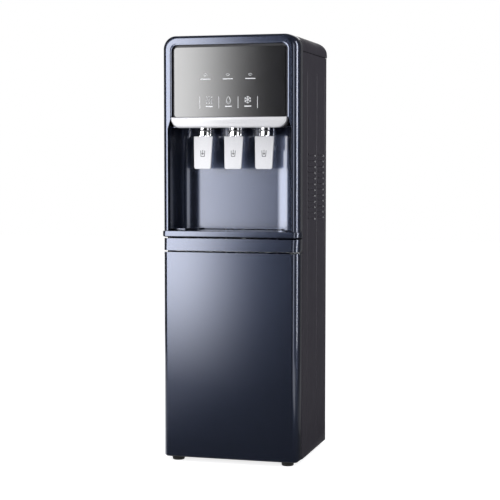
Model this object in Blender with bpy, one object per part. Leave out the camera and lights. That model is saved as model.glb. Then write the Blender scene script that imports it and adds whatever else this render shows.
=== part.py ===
"""Top load water cooler: moulded front, three taps, steel cabinet, tanks and cooling circuit.

Metres, +Z up. The front faces -Y, and the origin is on the floor, midway across and midway deep.
"""

from math import cos, pi, radians, sin

import bmesh
import bpy
from mathutils import Matrix, Vector

# Overall sizes
HEIGHT = 1.000
WIDTH = 0.330
DEPTH = 0.300
FOOT_HEIGHT = 0.010
HALF_WIDTH = WIDTH / 2
FRONT_Y = -DEPTH / 2
BACK_Y = DEPTH / 2

# Clearances: pieces that touch, tube ends, seams, and how far a cutter runs past what it cuts
SEAT_GAP = 0.0003
LINK_GAP = 0.0006
SEAM_GAP = 0.0015
OVERRUN = 0.004

# Front mouldings, all with the same corner
MOULDING_DEPTH = 0.044
CORNER_ACROSS = 0.0157
CORNER_DEEP = 0.028
CORNER_STEPS = 6
SKIN = 0.0025
PROUD = 0.0090
SEAM_Y = FRONT_Y + MOULDING_DEPTH

# The front's divisions from the top down; the door takes up the height that is left
TOP_RADIUS = 0.030
TOP_COVER_HEIGHT = 0.037
GLASS_DROP = 0.0270
GLASS_TALL = 0.1617
CHIN_TALL = 0.0246
CEILING_DROP = 0.0026
ALCOVE_TALL = 0.2368
LIP_HEIGHT = 0.0150
LIP_GAP = 0.0030
FASCIA_HEIGHT = 0.0285
DOOR_TOP_GAP = 0.0040
DOOR_FOOT_GAP = 0.0038
GLASS_TOP_Z = HEIGHT - GLASS_DROP
GLASS_LOW_Z = GLASS_TOP_Z - GLASS_TALL
CHIN_TOP_Z = GLASS_LOW_Z - SEAT_GAP
CHIN_LOW_Z = CHIN_TOP_Z - CHIN_TALL
ALCOVE_TOP_Z = CHIN_LOW_Z - CEILING_DROP
LIP_TOP_Z = ALCOVE_TOP_Z - ALCOVE_TALL
LIP_LOW_Z = LIP_TOP_Z - LIP_HEIGHT
FASCIA_TOP_Z = LIP_LOW_Z - LIP_GAP
FASCIA_LOW_Z = FASCIA_TOP_Z - FASCIA_HEIGHT
DOOR_TOP_Z = FASCIA_LOW_Z - DOOR_TOP_GAP
DOOR_LOW_Z = FOOT_HEIGHT + DOOR_FOOT_GAP

# Steel casing, base plate and back
SHEET = 0.0012
FLANGE = 0.012
BASE_THICK = 0.0017
BACK_SET_IN = 0.0120
BAY_TALL = 0.280
BASE_TOP_Z = FOOT_HEIGHT + BASE_THICK
CASE_LOW_Z = BASE_TOP_Z + SEAT_GAP
CASE_TOP_Z = HEIGHT - TOP_COVER_HEIGHT - SEAM_GAP
CASE_FRONT_Y = SEAM_Y + SEAT_GAP
BACK_PANEL_Y = BACK_Y - BACK_SET_IN
BACK_LOW_Z = FOOT_HEIGHT + BAY_TALL

# Depths from the back forwards: cold tank, alcove, taps, press plates
COLD_RADIUS = 0.062
FOAM_WALL = 0.010
TANK_REAR_GAP = 0.0148
ALCOVE_REAR_GAP = 0.020
TAP_OFF_WALL = 0.048
PLATE_FORWARD = 0.020
JACKET_RADIUS = COLD_RADIUS + FOAM_WALL
TANK_Y = BACK_PANEL_Y - SHEET - TANK_REAR_GAP - JACKET_RADIUS
ALCOVE_BACK_Y = TANK_Y - JACKET_RADIUS - ALCOVE_REAR_GAP
TAP_Y = ALCOVE_BACK_Y - TAP_OFF_WALL
PLATE_Y = TAP_Y - PLATE_FORWARD

# Tank shelf, which also carries the door's upper hinge
TANK_SHELF_DROP = 0.0011
TANK_SHELF_THICK = 0.0015
TANK_SHELF_Z = DOOR_TOP_Z - TANK_SHELF_DROP
TANK_DECK_Z = TANK_SHELF_Z + TANK_SHELF_THICK

NAVY = ("metallic_navy", (0.055, 0.065, 0.13), 0.32, 0.6)
CHARCOAL = ("charcoal_steel", (0.045, 0.042, 0.055), 0.45, 0.3)
GLASS = ("control_glass", (0.010, 0.010, 0.012), 0.08, 0.0)
WHITE = ("gloss_white", (0.82, 0.82, 0.84), 0.25, 0.0)
CHROME = ("chrome", (0.80, 0.80, 0.82), 0.10, 1.0)
DARK = ("dark_plastic", (0.030, 0.030, 0.035), 0.45, 0.0)
BLACK = ("black_rubber", (0.012, 0.012, 0.012), 0.75, 0.0)
STEEL = ("bare_steel", (0.55, 0.56, 0.58), 0.32, 1.0)
COPPER = ("copper", (0.72, 0.36, 0.22), 0.30, 1.0)
LINER = ("grey_plastic", (0.55, 0.56, 0.58), 0.50, 0.0)
FOAM = ("foam_jacket", (0.78, 0.76, 0.70), 0.85, 0.0)
ENAMEL = ("black_enamel", (0.020, 0.020, 0.020), 0.40, 0.2)
ORIGIN = (0.0, 0.0, 0.0)


def clear_scene():
    for old in list(bpy.data.objects):
        bpy.data.objects.remove(old, do_unlink=True)


def finish_of(name, color, roughness, metallic):
    """A plain Principled material, made once for each name."""
    material = bpy.data.materials.get(name)
    if material is None:
        material = bpy.data.materials.new(name)
        material.use_nodes = True
        shader = material.node_tree.nodes["Principled BSDF"]
        shader.inputs["Base Color"].default_value = (*color, 1.0)
        shader.inputs["Roughness"].default_value = roughness
        shader.inputs["Metallic"].default_value = metallic
    return material


def place(name, bm, finish, pivot=ORIGIN, cutter=False):
    """Makes an object of a bmesh in world places, with its origin at pivot."""
    bmesh.ops.remove_doubles(bm, verts=bm.verts, dist=SEAT_GAP / 100)
    bmesh.ops.recalc_face_normals(bm, faces=bm.faces)
    bm.transform(Matrix.Translation(-Vector(pivot)))
    mesh = bpy.data.meshes.new(name)
    bm.to_mesh(mesh)
    bm.free()
    mesh.shade_smooth()
    mesh.set_sharp_from_angle(angle=radians(32))
    mesh.materials.append(finish_of(*finish))
    obj = bpy.data.objects.new(name, mesh)
    obj.location = pivot
    obj.hide_render = cutter
    obj.display_type = "WIRE" if cutter else "TEXTURED"
    bpy.context.scene.collection.objects.link(obj)
    return obj


def combine(target, other, operation):
    """Cuts the hidden guide other from target, joins it to target, or keeps what they share."""
    boolean = target.modifiers.new(other.name, "BOOLEAN")
    boolean.operation = operation
    boolean.solver = "EXACT"
    boolean.object = other
    return target


def soften(obj, width, segments):
    """Rounds the sharp edges of an object."""
    edge = obj.modifiers.new("soft_edge", "BEVEL")
    edge.width = width
    edge.segments = segments
    edge.limit_method = "ANGLE"
    edge.angle_limit = radians(60)


def add_box(bm, low, high):
    low, high = Vector(low), Vector(high)
    size = Matrix.Diagonal((*(high - low), 1.0))
    bmesh.ops.create_cube(bm, size=1.0, matrix=Matrix.Translation((low + high) / 2) @ size)


def box(name, low, high, finish, pivot=ORIGIN, cutter=False):
    bm = bmesh.new()
    add_box(bm, low, high)
    return place(name, bm, finish, pivot, cutter)


def add_prism(bm, outline, axis, start, end):
    """Extrudes a closed outline along axis; x keeps (y, z), y keeps (x, z), z keeps (x, y)."""
    order = {
        "x": lambda p: Vector((start, p[0], p[1])),
        "y": lambda p: Vector((p[0], start, p[1])),
        "z": lambda p: Vector((p[0], p[1], start)),
    }[axis]
    step = {"x": (1, 0, 0), "y": (0, 1, 0), "z": (0, 0, 1)}[axis]
    face = bm.faces.new([bm.verts.new(order(p)) for p in outline])
    grown = bmesh.ops.extrude_face_region(bm, geom=[face])["geom"]
    moved = [item for item in grown if isinstance(item, bmesh.types.BMVert)]
    bmesh.ops.translate(bm, verts=moved, vec=Vector(step) * (end - start))


def prism(name, outline, axis, start, end, finish, pivot=ORIGIN, cutter=False):
    bm = bmesh.new()
    add_prism(bm, outline, axis, start, end)
    return place(name, bm, finish, pivot, cutter)


def arc(centre, radius, start, end, steps):
    """Points of an arc from start to end degrees."""
    turn = [radians(start + (end - start) * i / steps) for i in range(steps + 1)]
    return [(centre[0] + radius * cos(a), centre[1] + radius * sin(a)) for a in turn]


def mirrored(right):
    """The right half of an outline, and then its mirror image back to the start."""
    return right + [(-across, other) for across, other in reversed(right)]


def rounded(low, high, radius, steps=4):
    """A rectangle from low to high with four round corners, anticlockwise."""
    (x0, y0), (x1, y1) = low, high
    return (
        arc((x1 - radius, y1 - radius), radius, 0, 90, steps)
        + arc((x0 + radius, y1 - radius), radius, 90, 180, steps)
        + arc((x0 + radius, y0 + radius), radius, 180, 270, steps)
        + arc((x1 - radius, y0 + radius), radius, 270, 360, steps)
    )


def turned(name, profile, centre, finish, steps=24, cutter=False):
    """Spins an (radius, z) profile about a vertical axis. One off the axis is closed first."""
    bm = bmesh.new()
    ring = [bm.verts.new((centre[0] + r, centre[1], z)) for r, z in profile]
    pairs = list(zip(ring, ring[1:]))
    if profile[0][0] > 0:
        pairs.append((ring[-1], ring[0]))
    edges = [bm.edges.new(pair) for pair in pairs]
    bmesh.ops.spin(
        bm, geom=ring + edges, cent=(*centre, 0), axis=(0, 0, 1),
        angle=2 * pi, steps=steps, use_merge=True,
    )
    return place(name, bm, finish, cutter=cutter)


def add_rod(bm, start, end, radius, sides=12):
    start, end = Vector(start), Vector(end)
    along = end - start
    turn = Vector((0, 0, 1)).rotation_difference(along).to_matrix().to_4x4()
    bmesh.ops.create_cone(
        bm, cap_ends=True, segments=sides, radius1=radius, radius2=radius,
        depth=along.length, matrix=Matrix.Translation((start + end) / 2) @ turn,
    )


def rod(name, start, end, radius, finish, sides=12, pivot=ORIGIN, cutter=False):
    bm = bmesh.new()
    add_rod(bm, start, end, radius, sides)
    return place(name, bm, finish, pivot, cutter)


def moulding_outline(inset=0.0, depth=MOULDING_DEPTH):
    """Plan of a front moulding: a flat face, a curved corner each side, straight into the seam."""
    half = HALF_WIDTH - inset
    deep = CORNER_DEEP - inset
    turn = [pi / 2 * i / CORNER_STEPS for i in range(CORNER_STEPS + 1)]
    right = [
        (half - CORNER_ACROSS * (1 - sin(a)), FRONT_Y + inset + deep * (1 - cos(a)))
        for a in turn
    ]
    return mirrored(right + [(half, FRONT_Y + depth)])


# Upper frame, around the control glass and the alcove
GLASS_SIDE = 0.0317
GLASS_RADIUS = 0.007
RING_WIDTH = 0.0060
ALCOVE_SIDE = 0.016
FLARE_RISE = 0.0015
FLARE_OVER_CHIN = 0.0045
GLASS_HALF = HALF_WIDTH - GLASS_SIDE
ALCOVE_HALF = HALF_WIDTH - ALCOVE_SIDE
OPENING_HALF = GLASS_HALF + RING_WIDTH
OPENING_TOP_Z = GLASS_TOP_Z + RING_WIDTH
FRAME_LOW_Z = LIP_TOP_Z + SEAT_GAP


def opening_outline():
    """Front view of the frame's opening, wider at the alcove than at the glass."""
    radius = GLASS_RADIUS + RING_WIDTH
    right = arc((OPENING_HALF - radius, OPENING_TOP_Z - radius), radius, 90, 0, 4)
    right += [(OPENING_HALF, GLASS_LOW_Z + FLARE_OVER_CHIN), (ALCOVE_HALF, ALCOVE_TOP_Z + FLARE_RISE)]
    return mirrored(right + [(ALCOVE_HALF, FRAME_LOW_Z - OVERRUN)])


def top_outline(low, inset=0.0):
    """Front view of the cooler's top: upright sides and two large round corners."""
    corner = (HALF_WIDTH - TOP_RADIUS, HEIGHT - TOP_RADIUS)
    return mirrored([(HALF_WIDTH - inset, low)] + arc(corner, TOP_RADIUS - inset, 0, 90, 8))


def make_front_frame():
    frame = prism("upper_front_frame", moulding_outline(), "z", FRAME_LOW_Z, HEIGHT, NAVY)
    front, back = FRONT_Y - OVERRUN, SEAM_Y + OVERRUN
    limits = prism("frame_round_top", top_outline(0.0), "y", front, back, NAVY, cutter=True)
    combine(frame, limits, "INTERSECT")
    hole = prism("frame_opening", opening_outline(), "y", front, back, NAVY, cutter=True)
    combine(frame, hole, "DIFFERENCE")


# Control panel: carrier, black glass, indicator board with three lamps, and chin
GLASS_THICK = 0.0040
GLASS_SET_BACK = 0.0037
CARRIER_THICK = 0.012
CHIN_RADIUS = 0.0225
CHIN_OVERLAP = 0.0052
CHIN_EDGE = 0.0036
BOARD_THICK = 0.0016
BOARD_HALF = 0.085
BOARD_TALL = 0.080
LAMP_SPACING = 0.054
LAMP_RADIUS = 0.0025
LAMP_HEIGHT = 0.004
LAMP_DROP = 0.030
CARRIER_Y = FRONT_Y + GLASS_SET_BACK + GLASS_THICK + SEAT_GAP
CHIN_HALF = GLASS_HALF + CHIN_OVERLAP


def make_control_panel():
    side = OPENING_HALF - SEAT_GAP
    low, high = (-side, CHIN_LOW_Z + SEAT_GAP), (side, OPENING_TOP_Z - SEAT_GAP)
    carrier = rounded(low, high, GLASS_RADIUS + RING_WIDTH)
    prism("panel_carrier", carrier, "y", CARRIER_Y, CARRIER_Y + CARRIER_THICK, DARK)
    glass = rounded((-GLASS_HALF, GLASS_LOW_Z), (GLASS_HALF, GLASS_TOP_Z), GLASS_RADIUS)
    prism("control_glass", glass, "y", FRONT_Y + GLASS_SET_BACK, CARRIER_Y - SEAT_GAP, GLASS)
    corner = (CHIN_HALF - CHIN_RADIUS, CHIN_LOW_Z + CHIN_RADIUS)
    chin = mirrored(arc(corner, CHIN_RADIUS, 270, 360, 8) + [(CHIN_HALF, CHIN_TOP_Z)])
    trim = prism("chin_trim", chin, "y", FRONT_Y - PROUD, CARRIER_Y - SEAT_GAP, WHITE)
    soften(trim, CHIN_EDGE, 3)
    board_y = CARRIER_Y + CARRIER_THICK + SEAT_GAP
    board_low = (GLASS_LOW_Z + GLASS_TOP_Z - BOARD_TALL) / 2
    board = box("indicator_board", (-BOARD_HALF, board_y, board_low),
                (BOARD_HALF, board_y + BOARD_THICK, board_low + BOARD_TALL), DARK)
    lamp_z = board_low + BOARD_TALL - LAMP_DROP
    lamp_start, lamp_end = board_y + BOARD_THICK / 2, board_y + BOARD_THICK + LAMP_HEIGHT
    for label, x in (("left", -LAMP_SPACING), ("middle", 0.0), ("right", LAMP_SPACING)):
        lamp = rod(f"lamp_{label}", (x, lamp_start, lamp_z), (x, lamp_end, lamp_z),
                   LAMP_RADIUS, DARK, 8, cutter=True)
        combine(board, lamp, "UNION")


# Alcove liner: back wall, curved sides and ceiling in one moulding, with a hole for each tap
LINER_WALL = 0.0020
LINER_RISE = 0.0010
LINER_SET_BACK = 0.012
ALCOVE_NARROWING = 0.027
ALCOVE_CORNER = 0.037
CORNER_START_DEGREES = 15
NECK_RADIUS = 0.0195
NECK_SIDES = 20
TAP_SPACING = 0.0745
TAPS = (("hot", -TAP_SPACING), ("ambient", 0.0), ("cold", TAP_SPACING))
ALCOVE_BACK_HALF = ALCOVE_HALF - ALCOVE_NARROWING


def alcove_outline(grow=0.0):
    """Plan of the alcove's inner face, from the right mouth round the back to the left mouth."""
    corner = (ALCOVE_BACK_HALF - ALCOVE_CORNER + grow, ALCOVE_BACK_Y - ALCOVE_CORNER + grow)
    mouth = (ALCOVE_HALF - LINER_WALL - SEAT_GAP + grow, FRONT_Y + LINER_SET_BACK)
    return mirrored([mouth] + arc(corner, ALCOVE_CORNER, CORNER_START_DEGREES, 90, 6))


def make_alcove_liner():
    outline = alcove_outline(LINER_WALL) + alcove_outline()[::-1]
    liner = prism("alcove_liner", outline, "z", LIP_TOP_Z + LINER_RISE, ALCOVE_TOP_Z, NAVY)
    ceiling_z = ALCOVE_TOP_Z - LINER_WALL
    lid = alcove_outline(LINER_WALL / 2)
    ceiling = prism("alcove_ceiling", lid, "z", ceiling_z, ALCOVE_TOP_Z, NAVY, cutter=True)
    combine(liner, ceiling, "UNION")
    for label, x in TAPS:
        low, high = (x, TAP_Y, ceiling_z - OVERRUN), (x, TAP_Y, ALCOVE_TOP_Z + OVERRUN)
        radius = NECK_RADIUS + SEAT_GAP
        hole = rod(f"neck_hole_{label}", low, high, radius, NAVY, NECK_SIDES, cutter=True)
        combine(liner, hole, "DIFFERENCE")


# Taps: a chromed neck in the ceiling with its spout, and a sprung lever and plate on a pin
NECK_SHOWN = 0.0148
NECK_ABOVE = 0.0312
NECK_TOP_SHARE = 0.7
SPOUT_RADIUS = 0.0060
SPOUT_BORE = 0.0040
SPOUT_LONG = 0.0340
SPOUT_BACK = 0.0040
PIN_RADIUS = 0.0015
PIN_DROP = 0.0060
PIN_FORWARD = 0.0090
PIN_HALF = 0.0135
KNUCKLE_HALF = 0.0082
KNUCKLE_RADIUS = 0.0030
EAR_RUN = 0.0005
EAR_FORWARD = 0.0025
EAR_BACK = 0.0035
EAR_THICK = 0.0030
PLATE_OVER_PIN = 0.0045
PLATE_TALL = 0.0765
PLATE_TOP_HALF = 0.02325
PLATE_LOW_HALF = 0.0205
PLATE_THICK = 0.0040
PLATE_RADIUS = 0.0045
PLATE_EDGE = 0.0010
PLATE_LEAN = 0.007
LEVER_INSET = 0.0022
LEVER_TOP_DEPTH = 0.0035
LEVER_LOW_DEPTH = 0.0100
NECK_LOW_Z = ALCOVE_TOP_Z - NECK_SHOWN
NECK_TOP_Z = ALCOVE_TOP_Z + NECK_ABOVE
PIN_Y = TAP_Y - PIN_FORWARD
PIN_Z = NECK_LOW_Z - PIN_DROP
PLATE_TOP_Z = PIN_Z + PLATE_OVER_PIN
PLATE_LOW_Z = PLATE_TOP_Z - PLATE_TALL


def leaned(bm):
    """Leans what is in the mesh, so that its foot stands further forward than its top."""
    for vert in bm.verts:
        vert.co.y -= PLATE_LEAN * (PLATE_TOP_Z - vert.co.z) / PLATE_TALL


def make_tap_body(label, x, drill):
    neck = [(0.0, NECK_LOW_Z), (NECK_RADIUS, NECK_LOW_Z), (NECK_RADIUS, ALCOVE_TOP_Z + LINER_WALL),
            (NECK_RADIUS * NECK_TOP_SHARE, NECK_TOP_Z), (0.0, NECK_TOP_Z)]
    body = turned(f"{label}_tap_body", neck, (x, TAP_Y), CHROME, NECK_SIDES)
    ears = bmesh.new()
    for side in (-1, 1):
        inner = side * (KNUCKLE_HALF + EAR_RUN)
        left, right = sorted((inner, inner + side * EAR_THICK))
        add_box(ears, (x + left, PIN_Y - EAR_FORWARD, PIN_Z - PIN_RADIUS - EAR_THICK),
                (x + right, PIN_Y + EAR_BACK, NECK_LOW_Z + OVERRUN))
    combine(body, place(f"{label}_ears", ears, CHROME, cutter=True), "UNION")
    combine(body, drill, "DIFFERENCE")
    y, low = TAP_Y + SPOUT_BACK, NECK_LOW_Z - SPOUT_LONG
    spout = rod(f"{label}_spout", (x, y, low), (x, y, NECK_LOW_Z + OVERRUN),
                SPOUT_RADIUS, CHROME, 16, cutter=True)
    combine(body, spout, "UNION")
    bore = rod(f"{label}_spout_bore", (x, y, low - OVERRUN), (x, y, NECK_LOW_Z),
               SPOUT_BORE, CHROME, 12, cutter=True)
    combine(body, bore, "DIFFERENCE")


def make_lever(label, x, pivot, drill):
    corner = (PLATE_LOW_HALF - PLATE_RADIUS, PLATE_LOW_Z + PLATE_RADIUS)
    right = arc(corner, PLATE_RADIUS, 270, 360, 4) + [(PLATE_TOP_HALF, PLATE_TOP_Z)]
    back = PLATE_Y + PLATE_THICK
    bm = bmesh.new()
    add_prism(bm, [(x + across, z) for across, z in mirrored(right)], "y", PLATE_Y, back)
    leaned(bm)
    soften(place(f"{label}_press_plate", bm, WHITE, pivot), PLATE_EDGE, 1)
    start, half = back + SEAT_GAP, PLATE_LOW_HALF - LEVER_INSET
    top, foot = PLATE_TOP_Z - LEVER_INSET, PLATE_LOW_Z + LEVER_INSET
    end = start + LEVER_TOP_DEPTH
    side = [(start, foot), (start + LEVER_LOW_DEPTH, foot), (end, top - LEVER_LOW_DEPTH),
            (end, top), (start, top)]
    bm = bmesh.new()
    add_prism(bm, side, "x", x - half, x + half)
    leaned(bm)
    lever = place(f"{label}_tap_lever", bm, DARK, pivot)
    leaned_start = start + SEAT_GAP - PLATE_LEAN * PLATE_OVER_PIN / PLATE_TALL
    arm = box(f"{label}_arm", (x - KNUCKLE_HALF, leaned_start, PIN_Z - KNUCKLE_RADIUS),
              (x + KNUCKLE_HALF, PIN_Y + KNUCKLE_RADIUS, PIN_Z + KNUCKLE_RADIUS), DARK, cutter=True)
    combine(lever, arm, "UNION")
    combine(lever, drill, "DIFFERENCE")


def make_tap(label, x):
    pivot, reach = (x, PIN_Y, PIN_Z), PIN_HALF + OVERRUN
    drill = rod(f"{label}_pin_drill", (x - reach, PIN_Y, PIN_Z), (x + reach, PIN_Y, PIN_Z),
                PIN_RADIUS + SEAT_GAP, CHROME, 12, cutter=True)
    make_tap_body(label, x, drill)
    make_lever(label, x, pivot, drill)
    rod(f"{label}_tap_pin", (x - PIN_HALF, PIN_Y, PIN_Z), (x + PIN_HALF, PIN_Y, PIN_Z),
        PIN_RADIUS, STEEL, 12, pivot)


# Drip tray with its full-width lip, and the grille that lies in it
LIP_PROUD = 0.0030
LIP_EDGE = 0.00275
LIP_DEPTH = 0.039
TRAY_SIDE_GAP = 0.0038
TRAY_REAR_GAP = 0.0052
TRAY_CORNER = 0.030
TRAY_RISE = 0.0010
TRAY_RIM_DROP = 0.0005
TRAY_WALL = 0.0020
GRILLE_THICK = 0.0020
GRILLE_SET_BACK = 0.006
LEDGE = 0.0030
HOLE_PITCH = 0.0135
HOLE_RADIUS = 0.0046
HOLE_MARGIN = 0.015
FIRST_ROW_SHARE = 0.6
LIP_FRONT_Y = FRONT_Y - LIP_PROUD
LIP_BACK_Y = LIP_FRONT_Y + LIP_DEPTH
TRAY_HALF = ALCOVE_BACK_HALF - TRAY_SIDE_GAP
TRAY_BACK_Y = ALCOVE_BACK_Y - TRAY_REAR_GAP
TRAY_FLOOR_Z = FASCIA_TOP_Z + TRAY_RISE
TRAY_RIM_Z = LIP_TOP_Z - TRAY_RIM_DROP
GRILLE_FRONT_Y = FRONT_Y + GRILLE_SET_BACK


def tray_outline(inset, front):
    """Plan of the tray behind the lip, with round rear corners."""
    radius = TRAY_CORNER - inset
    corner = (TRAY_HALF - inset - radius, TRAY_BACK_Y - inset - radius)
    return mirrored([(TRAY_HALF - inset, front)] + arc(corner, radius, 0, 90, 6))


def make_drip_tray():
    lip = moulding_outline(-LIP_PROUD, LIP_BACK_Y - FRONT_Y)
    tray = prism("drip_tray", lip, "z", LIP_LOW_Z, LIP_TOP_Z, NAVY)
    soften(tray, LIP_EDGE, 2)
    bowl = tray_outline(0.0, LIP_BACK_Y - OVERRUN)
    seat = tray_outline(TRAY_WALL, GRILLE_FRONT_Y - SEAT_GAP)
    well = tray_outline(TRAY_WALL + LEDGE, GRILLE_FRONT_Y + LEDGE)
    ledge_z, floor_z = TRAY_RIM_Z - GRILLE_THICK, TRAY_FLOOR_Z + TRAY_WALL
    for name, plan, low, high, operation in (
        ("tray_bowl", bowl, TRAY_FLOOR_Z, TRAY_RIM_Z, "UNION"),
        ("grille_recess", seat, ledge_z, LIP_TOP_Z + OVERRUN, "DIFFERENCE"),
        ("tray_hollow", well, floor_z, LIP_TOP_Z, "DIFFERENCE"),
    ):
        combine(tray, prism(name, plan, "z", low, high, NAVY, cutter=True), operation)


def make_drip_grille():
    plan = tray_outline(TRAY_WALL + SEAT_GAP, GRILLE_FRONT_Y)
    low = TRAY_RIM_Z - GRILLE_THICK + SEAT_GAP
    grille = prism("drip_grille", plan, "z", low, low + GRILLE_THICK, NAVY)
    reach = TRAY_HALF - HOLE_MARGIN
    across = int(reach / HOLE_PITCH)
    rows = int((TRAY_BACK_Y - GRILLE_FRONT_Y - HOLE_MARGIN) / HOLE_PITCH)
    holes = bmesh.new()
    for row in range(rows):
        y = GRILLE_FRONT_Y + LEDGE + HOLE_PITCH * (row + FIRST_ROW_SHARE)
        for column in range(-across, across + 1):
            x = HOLE_PITCH * (column + row % 2 / 2)
            if abs(x) < reach:
                top = (x, y, low + GRILLE_THICK + OVERRUN)
                add_rod(holes, (x, y, low - OVERRUN), top, HOLE_RADIUS, 4)
    combine(grille, place("grille_holes", holes, NAVY, cutter=True), "DIFFERENCE")


# Fascia under the tray, a hollow moulding
def make_fascia():
    fascia = prism("fascia_band", moulding_outline(), "z", FASCIA_LOW_Z, FASCIA_TOP_Z, NAVY)
    inside = moulding_outline(SKIN, MOULDING_DEPTH + OVERRUN)
    low, high = FASCIA_LOW_Z - OVERRUN, FASCIA_TOP_Z - SKIN
    hollow = prism("fascia_hollow", inside, "z", low, high, NAVY, cutter=True)
    combine(fascia, hollow, "DIFFERENCE")


# Door: outer skin with a round hinge edge and a finger pocket, inner panel, gasket and strike
HINGE_INSET = 0.0070
DOOR_SKIN = 0.0030
DOOR_END_THICK = 0.0040
HINGE_BORE = 0.0025
HINGE_PIN = 0.0022
PIN_ENGAGED = 0.0030
GRIP_DROP = 0.0215
GRIP_TALL = 0.0800
GRIP_WIDE = 0.014
GASKET_THICK = 0.0050
GASKET_WIDE = 0.0090
GASKET_INSET = 0.0120
INNER_THICK = 0.0040
STRIKE_TALL = 0.030
STRIKE_THICK = 0.0020
STRIKE_WIDE = 0.014
DOOR_BACK_Y = SEAM_Y - SEAM_GAP
HINGE_X = HALF_WIDTH - HINGE_INSET
HINGE_Y = DOOR_BACK_Y - HINGE_INSET
HINGE_SIDE = HINGE_X - HINGE_INSET
DOOR_PIVOT = (HINGE_X, HINGE_Y, DOOR_LOW_Z)
GRIP_TOP_Z = DOOR_TOP_Z - GRIP_DROP
GRIP_LOW_Z = GRIP_TOP_Z - GRIP_TALL
GRIP_X = -HALF_WIDTH + GRIP_WIDE
INNER_LEFT = GRIP_X + SKIN + SEAT_GAP
INNER_BACK_Y = DOOR_BACK_Y - GASKET_THICK
GASKET_FRONT_Y = INNER_BACK_Y + SEAT_GAP
STRIKE_X = INNER_LEFT + GASKET_INSET + GASKET_WIDE + SEAT_GAP
STRIKE_Z = (GRIP_LOW_Z + GRIP_TOP_Z) / 2


def door_plan():
    """The moulding's plan, with its hinge corner round about the hinge axis."""
    plan = moulding_outline(0.0, DOOR_BACK_Y - FRONT_Y)
    straight = CORNER_STEPS + 1
    return plan[:straight] + arc((HINGE_X, HINGE_Y), HINGE_INSET, 0, 90, 5) + plan[straight + 1:]


def make_door_outer():
    door = prism("door_outer", door_plan(), "z", DOOR_LOW_Z, DOOR_TOP_Z, NAVY, DOOR_PIVOT)
    inside = moulding_outline(DOOR_SKIN, MOULDING_DEPTH + OVERRUN)
    inside = [(min(x, HINGE_SIDE), y) for x, y in inside]
    low, top = DOOR_LOW_Z + DOOR_END_THICK, DOOR_TOP_Z - DOOR_END_THICK
    hollow = prism("door_hollow", inside, "z", low, top, NAVY, cutter=True)
    combine(door, hollow, "DIFFERENCE")
    for end, start_z, end_z in (("low", DOOR_LOW_Z - OVERRUN, low + PIN_ENGAGED),
                                ("top", top - PIN_ENGAGED, DOOR_TOP_Z + OVERRUN)):
        bore = rod(f"door_bore_{end}", (HINGE_X, HINGE_Y, start_z), (HINGE_X, HINGE_Y, end_z),
                   HINGE_BORE, NAVY, 16, cutter=True)
        combine(door, bore, "DIFFERENCE")
    pocket_y = FRONT_Y + CORNER_DEEP
    pocket = box("grip_pocket", (-HALF_WIDTH + SHEET, pocket_y, GRIP_LOW_Z - SKIN),
                 (GRIP_X + SKIN, DOOR_BACK_Y, GRIP_TOP_Z + SKIN), NAVY, cutter=True)
    combine(door, pocket, "UNION")
    grip = box("grip_hollow", (-HALF_WIDTH - OVERRUN, pocket_y + SKIN, GRIP_LOW_Z),
               (GRIP_X, SEAM_Y + OVERRUN, GRIP_TOP_Z), NAVY, cutter=True)
    combine(door, grip, "DIFFERENCE")


def make_door_inside():
    right = HINGE_SIDE - SEAT_GAP
    low, top = DOOR_LOW_Z + DOOR_END_THICK + SEAT_GAP, DOOR_TOP_Z - DOOR_END_THICK - SEAT_GAP
    box("door_inner_panel", (INNER_LEFT, INNER_BACK_Y - INNER_THICK, low),
        (right, INNER_BACK_Y, top), LINER, DOOR_PIVOT)
    inset = GASKET_INSET
    corners = ((INNER_LEFT + inset, low + inset), (right - inset, top - inset))
    outer = rounded(*corners, GASKET_WIDE)
    gasket = prism("door_gasket", outer, "y", GASKET_FRONT_Y, SEAM_Y, BLACK, DOOR_PIVOT)
    inset += GASKET_WIDE
    corners = ((INNER_LEFT + inset, low + inset), (right - inset, top - inset))
    front, back = GASKET_FRONT_Y - OVERRUN, SEAM_Y + OVERRUN
    inner = rounded(*corners, GASKET_WIDE / 2)
    window = prism("gasket_window", inner, "y", front, back, BLACK, cutter=True)
    combine(gasket, window, "DIFFERENCE")
    box("door_strike", (STRIKE_X, GASKET_FRONT_Y, STRIKE_Z - STRIKE_TALL / 2),
        (STRIKE_X + STRIKE_WIDE, GASKET_FRONT_Y + STRIKE_THICK, STRIKE_Z + STRIKE_TALL / 2),
        STEEL, DOOR_PIVOT)


# Side panels: pressed steel pans with three ribs and two columns of hooded louvres
CASE_CORNER = 0.006
BEND_SHARE = 0.3
RIB_SHARES = (0.1836, 0.5664, 0.8984)
RIB_HALF = 0.0022
RIB_CREST_SHARE = 0.35
RIB_PROUD = 0.0011
RIB_DROP = 0.080
RIB_RISE = 0.0283
RIB_RAMP = 0.008
LOUVRE_SPAN_SHARES = ((0.2148, 0.4922), (0.6133, 0.8398))
LOUVRE_ROWS = 12
LOUVRE_RISE = 0.0266
LOUVRE_PITCH = 0.0137
LOUVRE_TALL = 0.0065
LOUVRE_PROUD = 0.0017
LOUVRE_WALL = 0.0007
LOUVRE_END = 0.0030
LOUVRE_SILL = 0.0005
CASE_DEPTH = BACK_Y - SEAM_Y
RIB_TOP_Z = HEIGHT - RIB_DROP
RIB_LOW_Z = BASE_TOP_Z + RIB_RISE
LOUVRE_LOW_Z = LIP_TOP_Z + LOUVRE_RISE


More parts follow.
